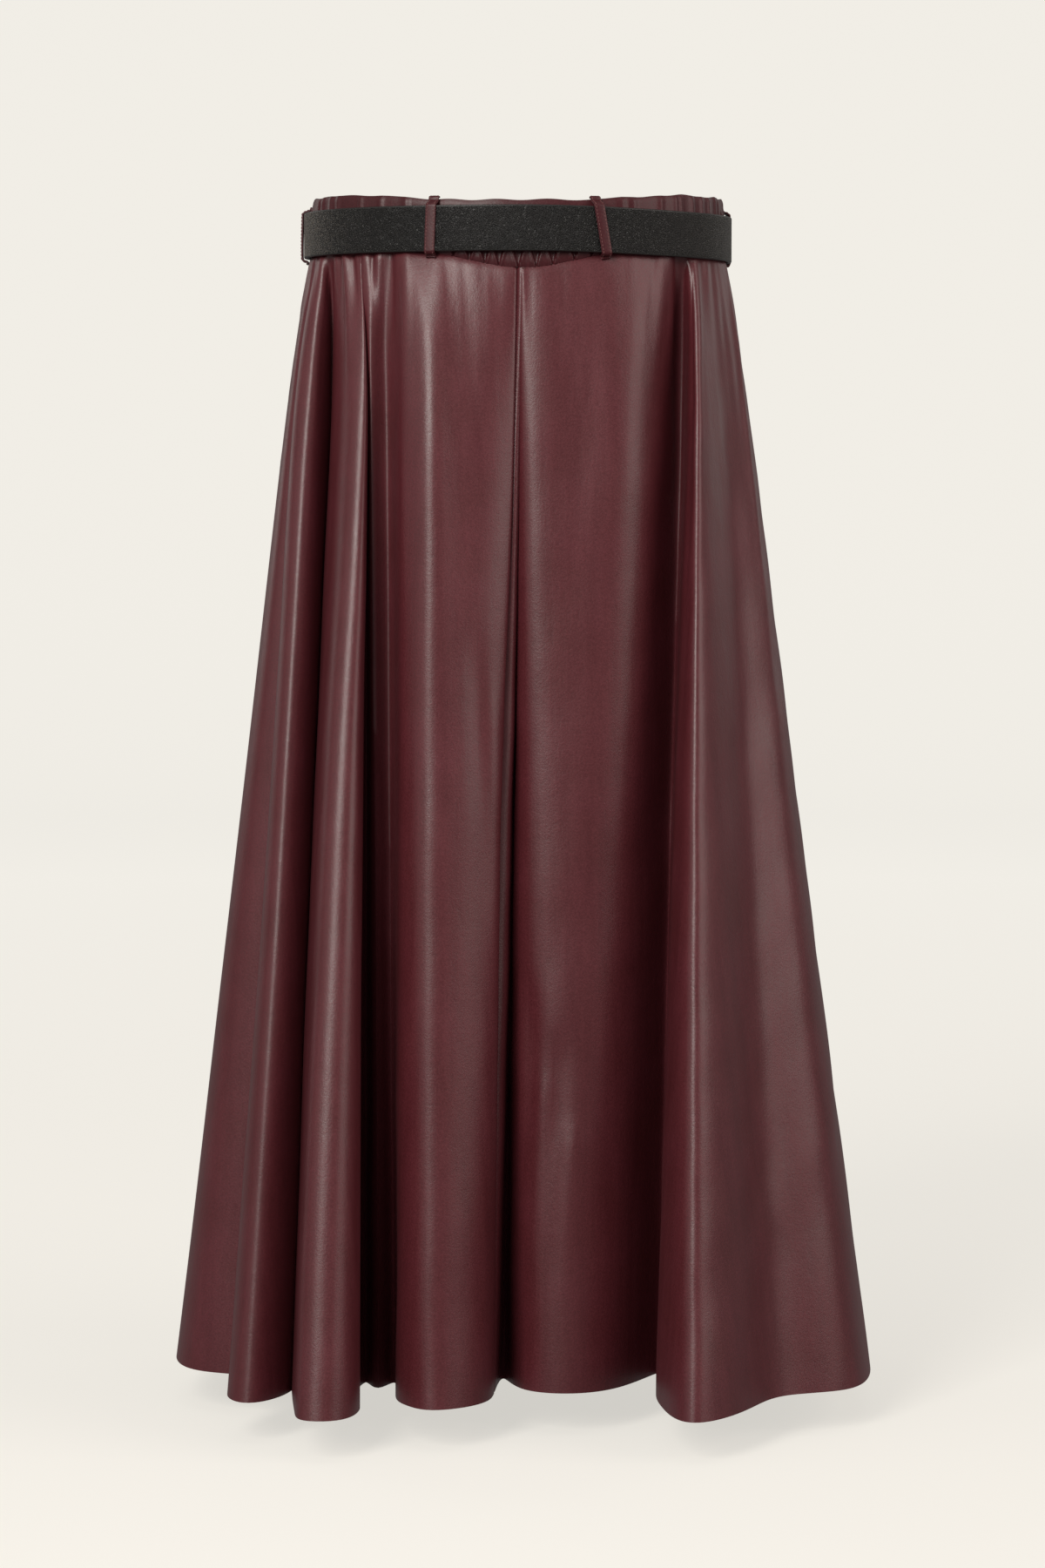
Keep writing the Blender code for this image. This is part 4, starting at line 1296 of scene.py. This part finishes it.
def seamless_sweep(floor_z, surface):
    """Floor and back wall in one curved sheet of paper, its wall far enough back for the skirt
    to be seen from behind as well."""
    half_width, front, back, height, bend = 14.0, -9.0, 7.0, 9.0, 1.6
    profile = [(front, 0.0), (back - bend, 0.0)]
    for turn in np.linspace(0, math.pi / 2, 16)[1:]:
        profile.append((back - bend + bend * math.sin(turn), bend - bend * math.cos(turn)))
    profile.append((back, height))
    points = [(x, y, floor_z + z) for y, z in profile for x in (-half_width, half_width)]
    faces = [(2 * i, 2 * i + 1, 2 * i + 3, 2 * i + 2) for i in range(len(profile) - 1)]
    sweep = link_mesh("paper_sweep", points, faces, [0] * len(faces), [surface])
    sweep.visible_glossy = False
    sweep.visible_diffuse = False


class SKIRT_OT_stage(bpy.types.Operator):
    """Set up the paper, the softboxes and the camera"""
    bl_idname = "skirt.stage"
    bl_label = "Stage"

    def execute(self, context):
        settings = context.scene.skirt_stage
        seamless_sweep(HEM_Z - settings.floor_drop, material_named(PAPER))
        middle = (0.0, 0.0, HEM_Z / 2)
        for name, place, size, power, color in SOFTBOXES:
            softbox(name, place, middle, size, power, color)
        world = bpy.data.worlds.new("studio air")
        world.use_nodes = True
        air = world.node_tree.nodes["Background"]
        air.inputs["Color"].default_value = linear(AIR_COLOR)
        air.inputs["Strength"].default_value = AIR_STRENGTH
        context.scene.world = world
        lens = bpy.data.cameras.new("camera")
        lens.lens = settings.lens
        camera = bpy.data.objects.new("camera", lens)
        camera.location = (0.0, -settings.camera_distance, HEM_Z + settings.camera_above_hem)
        camera.rotation_euler = (math.pi / 2 - settings.camera_tilt, 0.0, 0.0)
        context.scene.collection.objects.link(camera)
        context.scene.camera = camera
        context.scene.view_settings.view_transform = "Standard"
        return {"FINISHED"}


class SKIRT_PT_panel(bpy.types.Panel):
    bl_idname = "SKIRT_PT_panel"
    bl_label = "Flared leather skirt"
    bl_space_type = "VIEW_3D"
    bl_region_type = "UI"
    bl_category = "Skirt"

    def draw(self, context):
        for settings in (context.scene.skirt_cloth, context.scene.skirt_colors,
                         context.scene.skirt_stage):
            box = self.layout.box()
            for name in settings.__annotations__:
                box.prop(settings, name)
        for operator in OPERATORS:
            self.layout.operator(operator.bl_idname)


OPERATORS = (SKIRT_OT_panels, SKIRT_OT_waistband, SKIRT_OT_belt_loops, SKIRT_OT_belt,
             SKIRT_OT_buckle, SKIRT_OT_stage)
CLASSES = (SkirtClothSettings, SkirtColorSettings, SkirtStageSettings, *OPERATORS,
           SKIRT_PT_panel)


def register():
    for made in CLASSES:
        bpy.utils.register_class(made)
    bpy.types.Scene.skirt_cloth = bpy.props.PointerProperty(type=SkirtClothSettings)
    bpy.types.Scene.skirt_colors = bpy.props.PointerProperty(type=SkirtColorSettings)
    bpy.types.Scene.skirt_stage = bpy.props.PointerProperty(type=SkirtStageSettings)


def unregister():
    del bpy.types.Scene.skirt_stage
    del bpy.types.Scene.skirt_colors
    del bpy.types.Scene.skirt_cloth
    for made in reversed(CLASSES):
        bpy.utils.unregister_class(made)


def main():
    register()
    bpy.ops.skirt.panels()
    bpy.ops.skirt.waistband()
    bpy.ops.skirt.belt_loops()
    bpy.ops.skirt.belt()
    bpy.ops.skirt.buckle()
    bpy.ops.skirt.stage()


if __name__ == "__main__":
    main()
